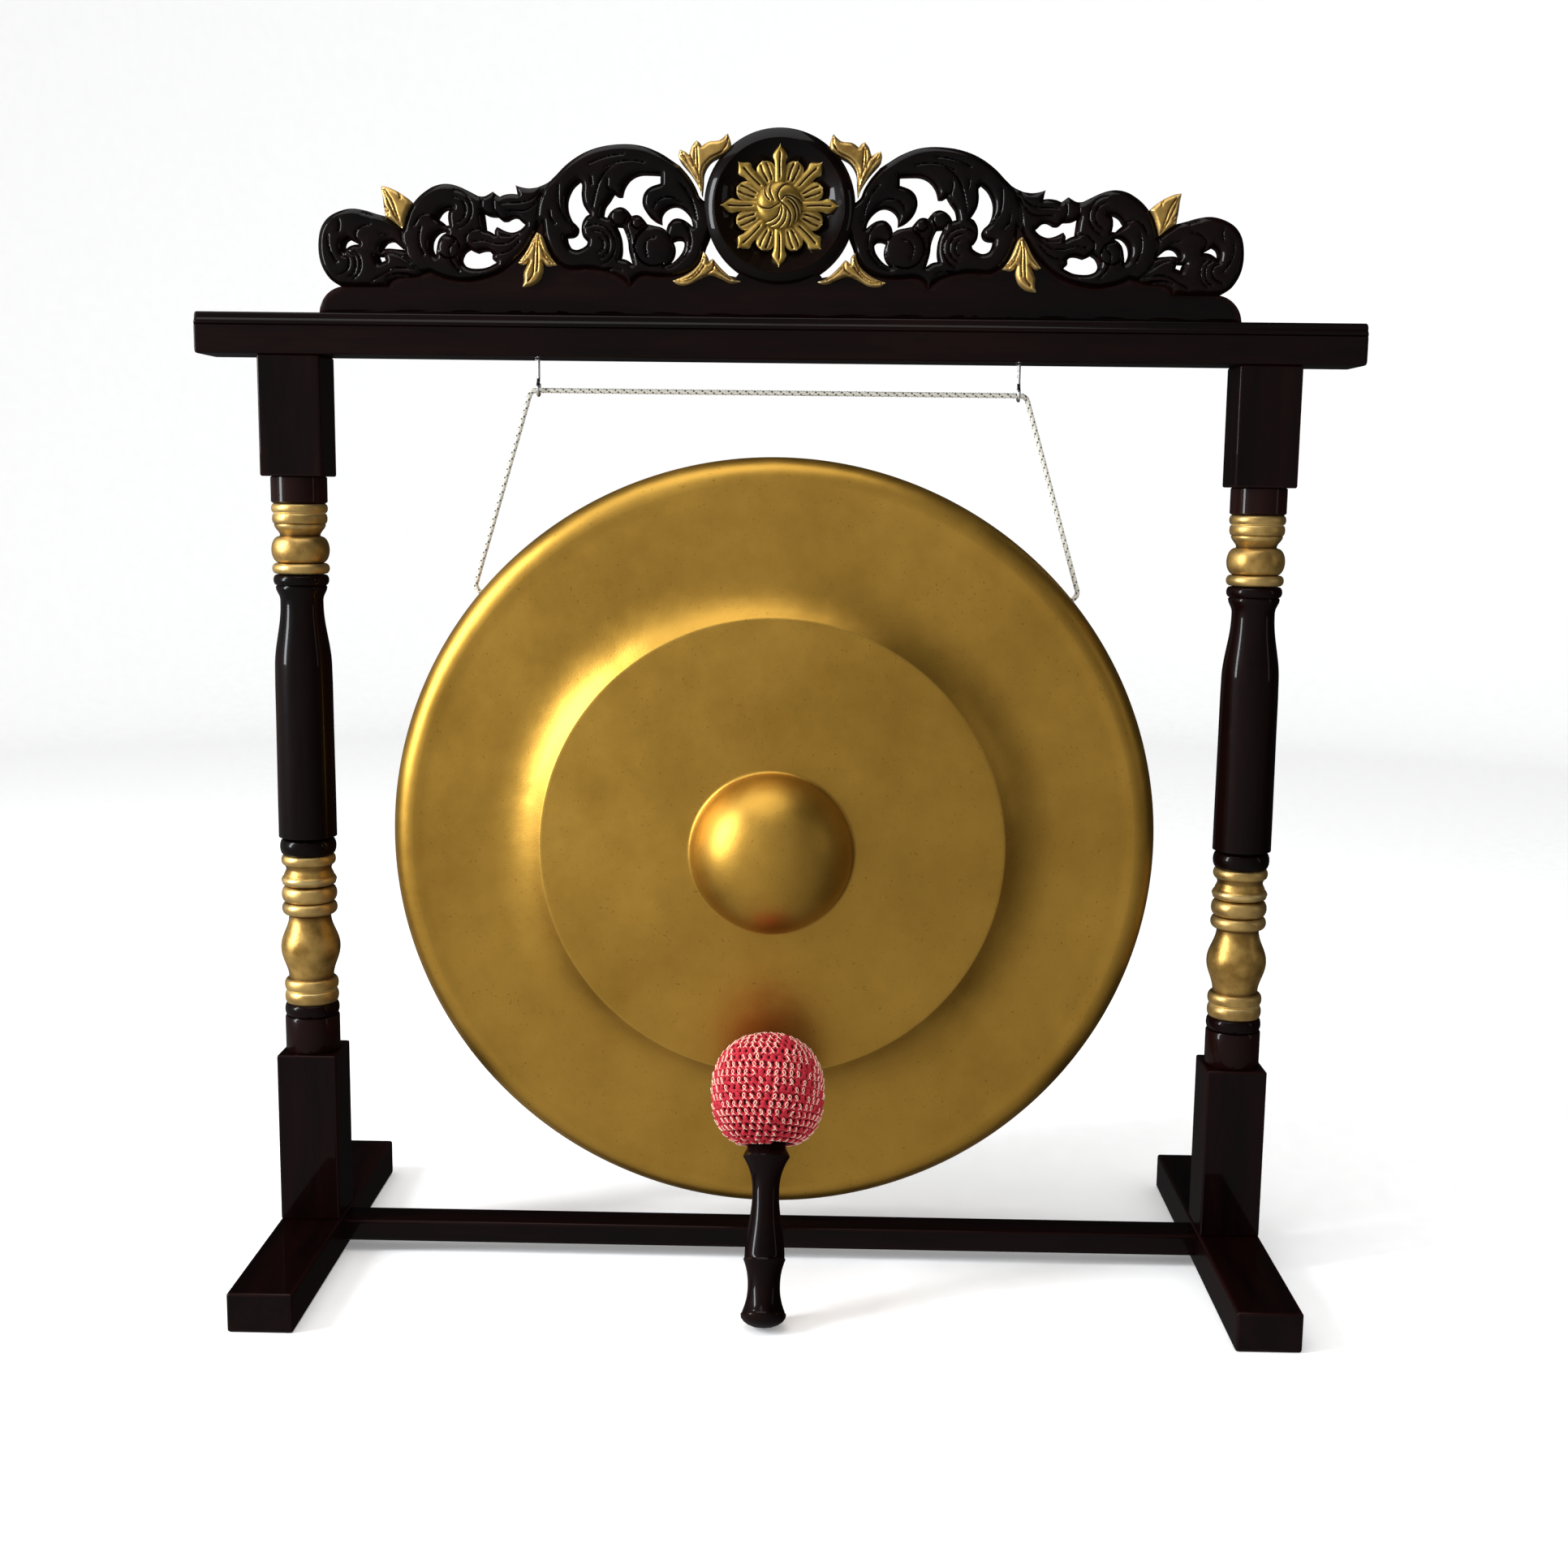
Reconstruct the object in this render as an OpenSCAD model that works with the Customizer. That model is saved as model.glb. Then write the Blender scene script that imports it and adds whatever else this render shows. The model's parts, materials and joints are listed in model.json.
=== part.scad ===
// Bossed gong on a carved stand, with its sling and its mallet.
// Origin: on the floor, midway between the feet. +X right, +Y away from the player, +Z up.
// Lengths are in millimetres and angles in degrees.

/* [Stand] */
// Distance between the two post axes
post_span = 1000; // [980:5:1040]
// Side of the square post timber
post_w = 64; // [60:1:68]
// Height of the beam's underside above the floor
beam_z = 966; // [955:1:980]
// Length of the top beam
beam_l = 1190; // [1160:5:1240]
// Depth of the top beam, front to back
beam_d = 70; // [68:1:84]
// Thickness of the top beam
beam_h = 42; // [38:1:48]
// Length of each foot, front to back
foot_l = 458; // [450:1:520]
// Width of each foot
foot_w = 66; // [66:1:76]
// Height of each foot
foot_h = 41; // [38:1:46]
// Depth of the stretcher, front to back
stretcher_d = 40; // [34:1:44]
// Thickness of the stretcher
stretcher_h = 24; // [20:1:26]

/* [Gong] */
// Largest diameter, at the shoulder
gong_d = 810; // [790:2:820]
// Thickness of the bronze wall
wall = 3; // [2.5:0.1:3.5]
// Height of the gong's centre above the floor
gong_z = 464; // [460:1:470]
// Diameter of the raised disc
disc_d = 488; // [470:2:500]
// Height of the raised disc above the outer face
disc_rise = 22; // [16:1:26]
// Diameter of the boss at its base
boss_d = 168; // [150:2:180]
// Height of the boss above the disc
boss_rise = 72; // [60:1:80]
// Depth of the flange behind the face
flange_depth = 165; // [150:1:170]
// How far the flange narrows from the shoulder to its back edge
flange_taper = 30; // [20:1:36]

/* [Sling] */
// Diameter of the rope
rope_d = 6; // [5:0.5:6]
// Distance between the two hooks
hook_span = 496; // [480:2:520]
// Height of the rope where it runs through the hooks
sling_z = 934; // [930:1:936]
// Angle of each rope hole above the gong's centre line
hole_angle = 40; // [38:1:44]

/* [Mallet] */
// Diameter of the mallet's head
head_d = 120; // [110:1:122]
// Lean of the mallet from upright, back against the gong
mallet_lean = 24; // [22:0.5:26]
// Length from the middle of the head to the end of the handle
handle_l = 238; // [230:1:240]

/* [Crest] */
// Thickness of the carved crest
crest_t = 28; // [24:1:34]
// Length of the plinth under the carving
plinth_l = 942; // [930:2:960]
// Height of the plinth
plinth_h = 28; // [26:1:32]
// Outer diameter of the medallion
medallion_d = 150; // [144:1:152]

/* [Hidden] */
$fn = 48;
eps = 0.01;
// Clearance between pieces that are let into each other
seam = 0.02;

lacquer = "#1c0f0d";
gold_paint = "#b08a3a";
bronze = "#b89a3c";

// ---- shared curves and sections ----------------------------------------------------------

// Points on an arc of radius r about c, from angle a0 to a1, in n steps
function arc(c, r, a0, a1, n) =
    [for (i = [0:n]) let (a = a0 + (a1 - a0) * i / n) c + r * [cos(a), sin(a)]];

// Turned bead: bulges from r to r + out between heights z0 and z1
function bead(z0, z1, r, out, n = 6) =
    [for (i = [0:n]) let (t = 180 * i / n) [r + out * sin(t), (z0 + z1) / 2 - (z1 - z0) / 2 * cos(t)]];

// Turned curve: radius eases from r0 to r1 between heights z0 and z1
function ease(z0, z1, r0, r1, n = 5) =
    [for (i = [0:n]) let (t = i / n) [r0 + (r1 - r0) * (1 - cos(180 * t)) / 2, z0 + (z1 - z0) * t]];

// Bar along X with the section's top and bottom arrises cut off by c
module chamfered_bar(size, c) {
    w = size[1] / 2;
    h = size[2];
    translate([-size[0] / 2, 0, 0]) rotate([90, 0, 90]) linear_extrude(size[0])
        polygon([[-w + c, 0], [w - c, 0], [w, c], [w, h - c], [w - c, h], [-w + c, h], [-w, h - c], [-w, c]]);
}

// Square block standing on z0 with its edges at both ends cut off by c
module square_block(w, z0, z1, c) {
    profile = [[-w / 2 + c, z0], [w / 2 - c, z0], [w / 2, z0 + c], [w / 2, z1 - c],
               [w / 2 - c, z1], [-w / 2 + c, z1], [-w / 2, z1 - c], [-w / 2, z0 + c]];
    intersection() {
        rotate([90, 0, 0]) linear_extrude(w, center = true) polygon(profile);
        rotate([90, 0, 90]) linear_extrude(w, center = true) polygon(profile);
    }
}

// Places children at both post axes
module at_posts() {
    for (side = [-1, 1]) translate([side * post_span / 2, 0, 0]) children();
}

// ---- stand -------------------------------------------------------------------------------

tenon_w = 34;
foot_tenon = 30;
beam_tenon = 28;
stretcher_z = 13;
stretcher_tenon = 15;
screw_d = 6;
pin_d = 6;
dowel_d = 8;
crest_dowel_d = 10;
lower_block_top = foot_h + 185;
upper_block_z = beam_z - 123;
turned_r = post_w / 2 - 1.2;

module foot_blank(side) {
    difference() {
        rotate([0, 0, 90]) chamfered_bar([foot_l, foot_w, foot_h], 2);
        translate([-tenon_w / 2, -tenon_w / 2, foot_h - foot_tenon]) cube([tenon_w, tenon_w, foot_tenon + 1]);
        translate([-side * (foot_w / 2 - stretcher_tenon / 2), 0, stretcher_z + stretcher_h / 2])
            cube([stretcher_tenon, stretcher_d - 12, stretcher_h - 8], center = true);
        translate([0, 0, -1]) cylinder(d = screw_d, h = foot_h);
        translate([0, 0, -1]) cylinder(d = 2 * screw_d, h = 1 + screw_d / 2 + 1);
        translate([-side * (foot_w / 2 - stretcher_tenon / 2), 0, -1]) cylinder(d = pin_d, h = foot_h - 4);
    }
}

module left_foot() {
    color(lacquer) translate([-post_span / 2, 0, 0]) foot_blank(-1);
}

module right_foot() {
    color(lacquer) translate([post_span / 2, 0, 0]) foot_blank(1);
}

module stretcher() {
    inner = post_span - foot_w;
    color(lacquer) difference() {
        union() {
            translate([0, 0, stretcher_z]) chamfered_bar([inner, stretcher_d, stretcher_h], 3);
            translate([0, 0, stretcher_z + stretcher_h / 2])
                cube([inner + 2 * stretcher_tenon, stretcher_d - 12, stretcher_h - 8], center = true);
        }
        for (side = [-1, 1]) translate([side * (inner + stretcher_tenon) / 2, 0, 0]) cylinder(d = pin_d, h = foot_h);
    }
}

// Outline of the turned middle of a post, from the lower block up to the upper block
function turned_outline(r, z0, z1) = concat(
    [[0, z0], [0.94 * r, z0], [0.94 * r, z0 + 39]],
    bead(z0 + 39, z0 + 53, 0.84 * r, 0.10 * r),
    bead(z0 + 53, z0 + 67, 0.82 * r, 0.11 * r),
    bead(z0 + 67, z0 + 80, 0.82 * r, 0.11 * r),
    ease(z0 + 81, z0 + 114, 0.77 * r, 1.02 * r),
    ease(z0 + 115, z0 + 149, 1.02 * r, 0.72 * r),
    bead(z0 + 151, z0 + 164, 0.80 * r, 0.15 * r),
    bead(z0 + 164, z0 + 182, 0.76 * r, 0.19 * r),
    [[0.90 * r, z0 + 184], [0.95 * r, z0 + 189], [0.90 * r, z0 + 192]],
    ease(z0 + 193, z0 + 201, 0.86 * r, 0.77 * r, 3),
    bead(z0 + 205, z0 + 216, 0.82 * r, 0.11 * r),
    bead(z0 + 216, z0 + 234, 0.82 * r, 0.14 * r),
    ease(z0 + 236, z1 - 218, 0.99 * r, 0.97 * r, 3),
    ease(z1 - 200, z1 - 133, 0.96 * r, 0.72 * r, 8),
    ease(z1 - 128, z1 - 115, 0.72 * r, 0.86 * r, 3),
    bead(z1 - 113, z1 - 102, 0.82 * r, 0.11 * r),
    bead(z1 - 101, z1 - 90, 0.82 * r, 0.14 * r),
    bead(z1 - 90, z1 - 62, 0.70 * r, 0.27 * r, 10),
    ease(z1 - 61, z1 - 50, 0.67 * r, 0.86 * r, 4),
    bead(z1 - 49, z1 - 38, 0.84 * r, 0.08 * r),
    bead(z1 - 37, z1 - 27, 0.84 * r, 0.10 * r),
    [[0.94 * r, z1 - 26], [0.94 * r, z1], [0, z1]]
);

module post_blank() {
    difference() {
        union() {
            square_block(post_w, foot_h, lower_block_top, 2);
            square_block(post_w, upper_block_z, beam_z, 2);
            rotate_extrude() polygon(turned_outline(turned_r, lower_block_top, upper_block_z));
            translate([0, 0, foot_h - foot_tenon / 2 + eps]) cube([tenon_w, tenon_w, foot_tenon], center = true);
            translate([0, 0, beam_z + beam_tenon / 2 - eps]) cube([tenon_w, tenon_w, beam_tenon], center = true);
        }
        cylinder(d = screw_d, h = foot_h + 14);
        translate([0, -18, beam_z + beam_tenon / 2]) rotate([-90, 0, 0]) cylinder(d = dowel_d, h = beam_d);
    }
}

module left_post() {
    color(lacquer) translate([-post_span / 2, 0, 0]) post_blank();
}

module right_post() {
    color(lacquer) translate([post_span / 2, 0, 0]) post_blank();
}

// Section of the top beam, with a bead and a step worked along both upper edges
module beam_section() {
    w = beam_d / 2;
    h = beam_h;
    left = concat([[-w + 2, 0], [-w, 2], [-w, h - 13]], arc([-w + 2, h - 10], 3, 260, 150, 5),
                  [[-w + 3, h - 5]], arc([-w + 5, h - 2.5], 2.5, 180, 90, 4));
    right = [for (i = [len(left) - 1:-1:0]) [-left[i][0], left[i][1]]];
    polygon(concat(left, right));
}

module top_beam() {
    x = beam_l / 2;
    front_outline = concat([[-x + 3, 0], [x - 3, 0], [x, 3]], arc([x - 8, beam_h - 8], 8, 0, 90, 5),
                           arc([-x + 8, beam_h - 8], 8, 90, 180, 5), [[-x, 3]]);
    color(lacquer) translate([0, 0, beam_z]) difference() {
        intersection() {
            translate([-x, 0, 0]) rotate([90, 0, 90]) linear_extrude(beam_l) beam_section();
            rotate([90, 0, 0]) linear_extrude(beam_d, center = true) polygon(front_outline);
        }
        at_posts() {
            translate([0, 0, beam_tenon / 2 - 0.5]) cube([tenon_w, tenon_w, beam_tenon + 1], center = true);
            translate([0, -18, beam_tenon / 2]) rotate([-90, 0, 0]) cylinder(d = dowel_d, h = beam_d);
        }
        for (side = [-1, 1]) translate([side * hook_span / 2, 0, -1]) cylinder(r = hook_thread_r, h = hook_thread + 1);
        at_crest_dowels() translate([0, 0, beam_h - 20]) cylinder(d = crest_dowel_d, h = 21);
    }
}

module foot_screws() {
    color("silver") at_posts() {
        translate([0, 0, 1]) cylinder(d1 = 2 * screw_d, d2 = screw_d, h = screw_d / 2);
        translate([0, 0, 1]) cylinder(d = screw_d, h = foot_h + 12);
    }
}

module stretcher_pins() {
    x = (post_span - foot_w + stretcher_tenon) / 2;
    color("tan") for (side = [-1, 1]) translate([side * x, 0, 0.5]) cylinder(d = pin_d, h = foot_h - 5.5);
}

module beam_dowels() {
    color("tan") at_posts()
        translate([0, -18, beam_z + beam_tenon / 2]) rotate([-90, 0, 0]) cylinder(d = dowel_d, h = beam_d / 2 + 18);
}

// ---- crest -------------------------------------------------------------------------------
// Each half of the carving is drawn in [u, z], with u measured outwards from the middle of
// the crest and z upwards from the beam. An outline is a chain of smooth runs that meet at
// corners, and each run starts where the last one ends.

crest_z = beam_z + beam_h;
medallion_z = 110.5;
crest_back = 14;
ground_front = crest_t - crest_back;
carving_front = ground_front + 6;
// The pierced scrolls are thinned from behind, so that their openings look light
carving_back = crest_back - 9;
medallion_front = ground_front + 12;

// Point t of the way from b to c on a smooth curve through a, b, c and d
function spline_point(a, b, c, d, t) =
    0.5 * (2 * b + (c - a) * t + (2 * a - 5 * b + 4 * c - d) * t * t + (3 * b - a - 3 * c + d) * t * t * t);

// Smooth run through the points of p, without its last point
function run(p, n = 3) = let (last = len(p) - 1)
    [for (i = [0:last - 1]) for (k = [0:n - 1])
        spline_point(p[max(i - 1, 0)], p[i], p[i + 1], p[min(i + 2, last)], k / n)];

function reversed(p) = [for (i = [len(p) - 1:-1:0]) p[i]];

// Upper edge of the carving, from the plinth's end over the scrolls to the medallion
leaf_foot = [[400, 97], [391, 91], [383, 85]];
leaf_side = [[383, 85], [380, 95], [377, 103], [373, 110]];
upper_edge = concat(
    run([[449, 28], [459, 35], [467, 48], [470, 64], [468, 82], [461, 94], [450, 101],
         [436, 104.5], [422, 103], [410, 99.5], [400, 97]]),
    run(leaf_foot),
    run(leaf_side),
    run([[373, 110], [366, 118], [356, 125], [345, 129], [335, 129.5], [325, 127], [315, 122.5], [306, 118]]),
    run([[306, 118], [299, 118], [291, 122.5]]),
    run([[291, 122.5], [287, 119.5], [284, 117.5]]),
    run([[284, 117.5], [279, 119.5], [272, 120.5], [266, 120]]),
    run([[266, 120], [267, 125], [268, 129]]),
    run([[268, 129], [262, 127], [254, 126], [246, 127]]),
    run([[246, 127], [237, 131], [228, 138], [218, 148], [206, 157], [192, 164], [175, 168.5], [155, 170],
         [138, 168], [122, 162], [111, 155.5], [101, 149]]),
    run([[101, 149], [92, 139], [85, 128], [81, 119], [72, 112]]),
    run([[72, 112], [66, 98], [70, 84]]),
    run([[70, 84], [72, 78], [75, 71], [77, 64]])
);

// Lower edge, where the scrolls stand proud of the flat ground above the plinth
lower_edge = concat(
    run([[77, 64], [82, 54], [92, 46], [106, 42], [122, 41], [138, 42], [147, 38], [152, 31]]),
    run([[152, 31], [157, 36], [166, 42], [180, 46], [196, 48], [212, 47], [222, 51], [232, 62], [239, 78],
         [241, 94]]),
    run([[241, 94], [246, 86], [256, 70], [268, 57], [284, 44], [302, 37], [322, 34], [342, 37], [356, 43]]),
    run([[356, 43], [372, 38], [388, 37], [397, 33], [400, 28]]),
    [[400, 28]]
);

// Holes cut through the carving, from the outer end inwards
end_eye = concat(
    run([[445, 62], [446, 68], [444, 73], [440, 75.5]]),
    run([[440, 75.5], [435, 72.5], [429, 69.5]]),
    run([[429, 69.5], [435, 68.5], [440, 66], [445, 62]])
);
end_window = concat(
    run([[406, 61], [406, 67], [402, 72], [396, 73.5], [390, 70.5], [383, 64.5]]),
    run([[383, 64.5], [390, 65], [398, 65.5], [403, 64.5], [406, 61]])
);
end_slit = [[411, 58.5], [403, 58.5], [401.5, 53.5], [408, 51]];
middle_eye = concat(
    run([[349, 96.5], [345, 102.5], [339, 106], [332, 106.5]]),
    run([[332, 106.5], [336, 103], [337, 96], [336, 89]]),
    run([[336, 89], [340, 89], [344, 93], [349, 96.5]])
);
middle_crescent = concat(
    run([[338, 82], [343, 84], [349, 82], [354, 76], [355.5, 68], [353, 61], [350, 58]]),
    run([[350, 58], [349, 66], [347, 74], [343, 79], [338, 82]])
);
middle_window = concat(
    run([[317, 66.5], [322, 63], [325, 56], [322, 50.5], [315, 47], [306, 46.5], [297, 48], [288, 52.5]]),
    run([[288, 52.5], [292, 56], [292, 60.5]]),
    run([[292, 60.5], [296, 64.5], [302, 65], [309, 63]]),
    run([[309, 63], [313, 64.5], [317, 66.5]])
);
bridge_window = concat(
    run([[302, 102], [296, 99.5], [288, 99]]),
    run([[288, 99], [283, 95], [278, 95]]),
    run([[278, 95], [272, 98], [267, 97.5], [262, 93], [258, 90.5]]),
    run([[258, 90.5], [263, 85.5], [271, 82.5], [279, 84], [287, 88]]),
    run([[287, 88], [289.5, 84], [289.5, 80.5]]),
    run([[289.5, 80.5], [294, 83], [300, 85]]),
    run([[300, 85], [301, 94], [302, 102]])
);
main_crescent = concat(
    run([[204, 134.5], [200.5, 130], [201, 120], [199, 110], [193, 101]]),
    run([[193, 101], [197, 98.5], [200.5, 92], [201, 84], [199, 78], [195, 75]]),
    run([[195, 75], [196, 71], [200, 68]]),
    run([[200, 68], [206, 66], [212, 68], [216, 74], [217, 79]]),
    run([[217, 79], [210, 80], [206, 84], [206, 90], [212, 96], [216, 106], [216, 117], [211, 128], [204, 134.5]])
);
main_window = concat(
    run([[121, 141.5], [132, 142], [143, 141.5], [152, 137], [158, 129], [160.5, 120]]),
    run([[160.5, 120], [165, 120], [169, 122.5]]),
    run([[169, 122.5], [173, 116], [178, 109], [180, 99.5]]),
    run([[180, 99.5], [175, 98]]),
    run([[175, 98], [172, 103], [167, 107], [161, 108.5], [155, 106], [150, 100]]),
    run([[150, 100], [145, 101], [140, 99], [134, 92]]),
    run([[134, 92], [127, 90.5], [120, 89], [115, 86]]),
    run([[115, 86], [113, 92], [108, 97], [102, 98], [95, 95.5], [88, 90]]),
    run([[88, 90], [90, 98], [95, 105], [102, 110], [109, 110.5], [116, 107], [120, 101], [120, 93]]),
    run([[120, 93], [127, 96], [134, 102], [139, 111], [138, 121], [132, 128], [121, 132]]),
    [[121, 132]]
);
ball_crescent = concat(
    run([[108.5, 76], [104, 77.5], [99, 77], [96.5, 73], [98, 66], [103, 59], [109, 54], [115, 52]]),
    run([[115, 52], [110, 57], [107, 63], [106.5, 70], [108.5, 76]])
);
main_slot = concat(
    [[166, 90.5]],
    run([[160, 90], [157, 84], [154, 75], [153, 66], [151, 58], [149.5, 53]]),
    run([[149.5, 53], [155, 56.5], [162, 58]]),
    run([[162, 58], [160.5, 66], [161, 76], [163, 84], [166, 90.5]])
);
holes = [end_eye, end_window, end_slit, middle_eye, middle_crescent, middle_window,
         bridge_window, main_crescent, main_window, ball_crescent, main_slot];

// Gold leaves: one on the end volute's shoulder, one hanging between the scrolls, and a
// sprig above and below where the main scroll meets the medallion
shoulder_leaf = concat(
    run([[383, 85], [391, 91], [400, 97]]),
    run([[400, 97], [401.5, 108], [402.5, 118], [404, 126.5]]),
    run([[404, 126.5], [396, 125], [386, 120.5], [378, 115], [373, 110]]),
    reversed(concat(run(leaf_side), [[373, 110]]))
);
drop_leaf = concat(
    run([[246, 82.5], [250, 76], [257, 63], [265, 52]]),
    run([[265, 52], [260, 50.5], [254, 54]]),
    run([[254, 54], [257, 48], [259.5, 42], [259.5, 34], [261, 28.3]]),
    run([[261, 28.3], [252, 29.5], [244, 35], [240, 44], [240, 53]]),
    run([[240, 53], [235, 49], [226, 50.5]]),
    run([[226, 50.5], [232, 58], [237, 69], [241, 79], [246, 82.5]])
);
upper_sprig = concat(
    run([[79, 120.5], [83, 131], [91, 143], [102, 156], [101, 164.5]]),
    run([[101, 164.5], [96, 162.5], [92, 159.5]]),
    run([[92, 159.5], [89, 168], [84.5, 173.5]]),
    run([[84.5, 173.5], [81, 171], [79, 168]]),
    run([[79, 168], [72, 172.5], [61, 174], [53, 181]]),
    run([[53, 181], [50, 172], [51, 164], [62, 159.5], [71, 154], [77, 144], [78, 132], [79, 120.5]])
);
lower_sprig = concat(
    run([[108, 36], [98, 40], [87, 47], [80, 55], [77, 65]]),
    run([[77, 65], [73, 61], [72, 54]]),
    run([[72, 54], [70, 56.5], [67, 58]]),
    run([[67, 58], [59, 49], [49, 40.5], [39, 36]]),
    run([[39, 36], [48, 34], [60, 39], [70, 42], [80, 38.5], [92, 32.5], [102, 32], [108, 36]])
);
gold_leaves = [shoulder_leaf, drop_leaf, upper_sprig, lower_sprig];

module medallion_seat() {
    translate([0, medallion_z]) circle(d = medallion_d, $fn = 96);
}

module leaf_outline(leaf) {
    difference() {
        polygon(leaf);
        medallion_seat();
    }
}

module carving_outline() {
    difference() {
        polygon(concat(upper_edge, lower_edge));
        for (hole = holes) polygon(hole);
        for (leaf = gold_leaves) polygon(leaf);
        medallion_seat();
    }
}

// Flat ground between the plinth and the foot of the scrolls
module ground_outline() {
    difference() {
        polygon(concat([[40, 14], [400, 14]], reversed(lower_edge), [[72, 54], [60, 44], [40, 40]]));
        for (leaf = [drop_leaf, lower_sprig]) polygon(leaf);
    }
}

// Stands a shape drawn in [u, z] upright on the beam, from the crest's back to front
module on_crest(front, back = crest_back) {
    translate([0, back, crest_z]) rotate([90, 0, 0]) linear_extrude(front + back) children();
}

module left_scrollwork() {
    color(lacquer) on_crest(carving_front, carving_back) mirror([1, 0]) offset(delta = -seam) carving_outline();
}

module right_scrollwork() {
    color(lacquer) on_crest(carving_front, carving_back) offset(delta = -seam) carving_outline();
}

module left_gold_leaves() {
    color(gold_paint) for (leaf = gold_leaves) on_crest(carving_front, carving_back) mirror([1, 0])
        offset(delta = -seam) leaf_outline(leaf);
}

module right_gold_leaves() {
    color(gold_paint) for (leaf = gold_leaves) on_crest(carving_front, carving_back) offset(delta = -seam) leaf_outline(leaf);
}

module at_crest_dowels() {
    for (i = [-2:2]) translate([i * 200, 0, 0]) children();
}

// Plinth with quarter-round ends, a saddle that cradles the medallion, and the flat ground
module crest_plinth() {
    x = plinth_l / 2;
    r = plinth_h;
    outline = concat([[-x, 0], [x, 0]], arc([x - r, 0], r, 0, 90, 8), arc([-x + r, 0], r, 90, 180, 8));
    saddle = [[-44, 14], [44, 14], [44, 41], [38, 48], [-38, 48], [-44, 41]];
    color(lacquer) difference() {
        on_crest(ground_front) offset(delta = -seam) difference() {
            union() {
                polygon(outline);
                polygon(saddle);
                ground_outline();
                mirror([1, 0]) ground_outline();
            }
            medallion_seat();
            polygon(lower_sprig);
            mirror([1, 0]) polygon(lower_sprig);
        }
        translate([0, 0, crest_z]) at_crest_dowels() translate([0, 0, -1]) cylinder(d = crest_dowel_d, h = 21);
    }
}

module crest_dowels() {
    color("tan") translate([0, 0, crest_z - 20]) at_crest_dowels() cylinder(d = crest_dowel_d, h = 40);
}

// Places a turned piece on the medallion's axis, its front towards the player
module on_medallion() {
    translate([0, 0, crest_z + medallion_z]) rotate([90, 0, 0]) children();
}

dish_front = medallion_front - 17;
dish_floor_r = 45;
petal_back = 6.5;
petal_front = 13;
petals = 16;
button_r = 24;
button_stem_r = 14;

module medallion() {
    r = medallion_d / 2;
    crown = r - 9;
    hollow_r = 22.75;
    hollow_turn = asin((crown - dish_floor_r) / hollow_r);
    outline = concat([[0, -crest_back], [r, -crest_back]],
                     arc([r - 12, medallion_front - 16], 12, 0, 60, 5),
                     arc([crown + 1.5, medallion_front - 1.5], 1.5, 60, 150, 4),
                     arc([dish_floor_r, dish_front + hollow_r], hollow_r, hollow_turn - 90, -90, 6),
                     [[0, dish_front]]);
    color(lacquer) on_medallion() rotate_extrude($fn = 96) polygon(outline);
}

// One petal, pointed or rounded, from the rosette's middle to its tip
module petal(tip, half_width, point) {
    polygon(concat([[0, 0]],
        [for (i = [0:6]) let (t = i / 6) [tip * (0.35 + 0.65 * t), -half_width * sin(40 + 140 * pow(t, point))]],
        [for (i = [6:-1:0]) let (t = i / 6) [tip * (0.35 + 0.65 * t), half_width * sin(40 + 140 * pow(t, point))]]));
}

module rosette() {
    color(gold_paint) on_medallion() translate([0, 0, dish_front]) difference() {
        union() {
            translate([0, 0, petal_back]) linear_extrude(petal_front - petal_back) offset(delta = eps) {
                circle(r = button_r);
                for (i = [0:petals - 1]) rotate(i * 360 / petals)
                    if (i % 2 == 0) petal(60, 9.5, 1); else petal(48, 10, 2.2);
            }
            cylinder(r = dish_floor_r - 10, h = petal_back);
        }
        translate([0, 0, -1]) cylinder(r = button_stem_r + seam, h = petal_front + 2);
    }
}

module rosette_button() {
    dome = [for (i = [0:8]) let (t = 90 * i / 8) [button_r * cos(t), petal_front + seam + 11 * sin(t)]];
    color(gold_paint) on_medallion() translate([0, 0, dish_front]) rotate_extrude($fn = 64)
        polygon(concat([[0, seam], [button_stem_r, seam], [button_stem_r, petal_front + seam]], dome));
}

// ---- gong --------------------------------------------------------------------------------
// The gong's own axis points to the player. s is measured forwards from the outer face and
// r outwards from the axis.

rim_r = gong_d / 2;
shoulder = 26;
disc_r = disc_d / 2;
boss_r = boss_d / 2;
ramp_r = 300;
plateau_rise = 10;
hole_s = -38;
rope_hole_d = 10;

// Radius of the flange at depth s behind the face
function flange_radius(s) = rim_r - flange_taper * (-s - shoulder) / (flange_depth - shoulder);

// The concave ramp rises from the outer face, steepening to the disc's edge
ramp_w = ramp_r - disc_r;
ramp_turn = 2 * atan(disc_rise / ramp_w);
ramp_arc = ramp_w / sin(ramp_turn);
boss_base = disc_rise + plateau_rise;

// The rope holes, and the height they hang at
hole_r = flange_radius(hole_s);
hang_z = gong_z + hole_r * sin(hole_angle);

gong_outline = concat(
    [for (i = [0:9]) let (t = 90 * (1 - i / 9)) [boss_r * cos(t), boss_base + boss_rise * sin(t)]],
    [[boss_r + 4, boss_base - 1], [disc_r - 3, disc_rise + 0.6], [disc_r, disc_rise]],
    [for (i = [1:6]) let (t = ramp_turn * (1 - i / 6))
        [ramp_r - ramp_arc * sin(t), ramp_arc * (1 - cos(t))]],
    [[(ramp_r + rim_r - shoulder) / 2, -1]],
    arc([rim_r - shoulder, -shoulder], shoulder, 90, 0, 8),
    [[rim_r - flange_taper, -flange_depth]]
);

// Direction square to the outline at point i, pointing into the metal
function inward(p, i) =
    let (d = p[min(i + 1, len(p) - 1)] - p[max(i - 1, 0)])
    (i == 0) ? [0, -1] : [d[1], -d[0]] / norm(d);

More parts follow.
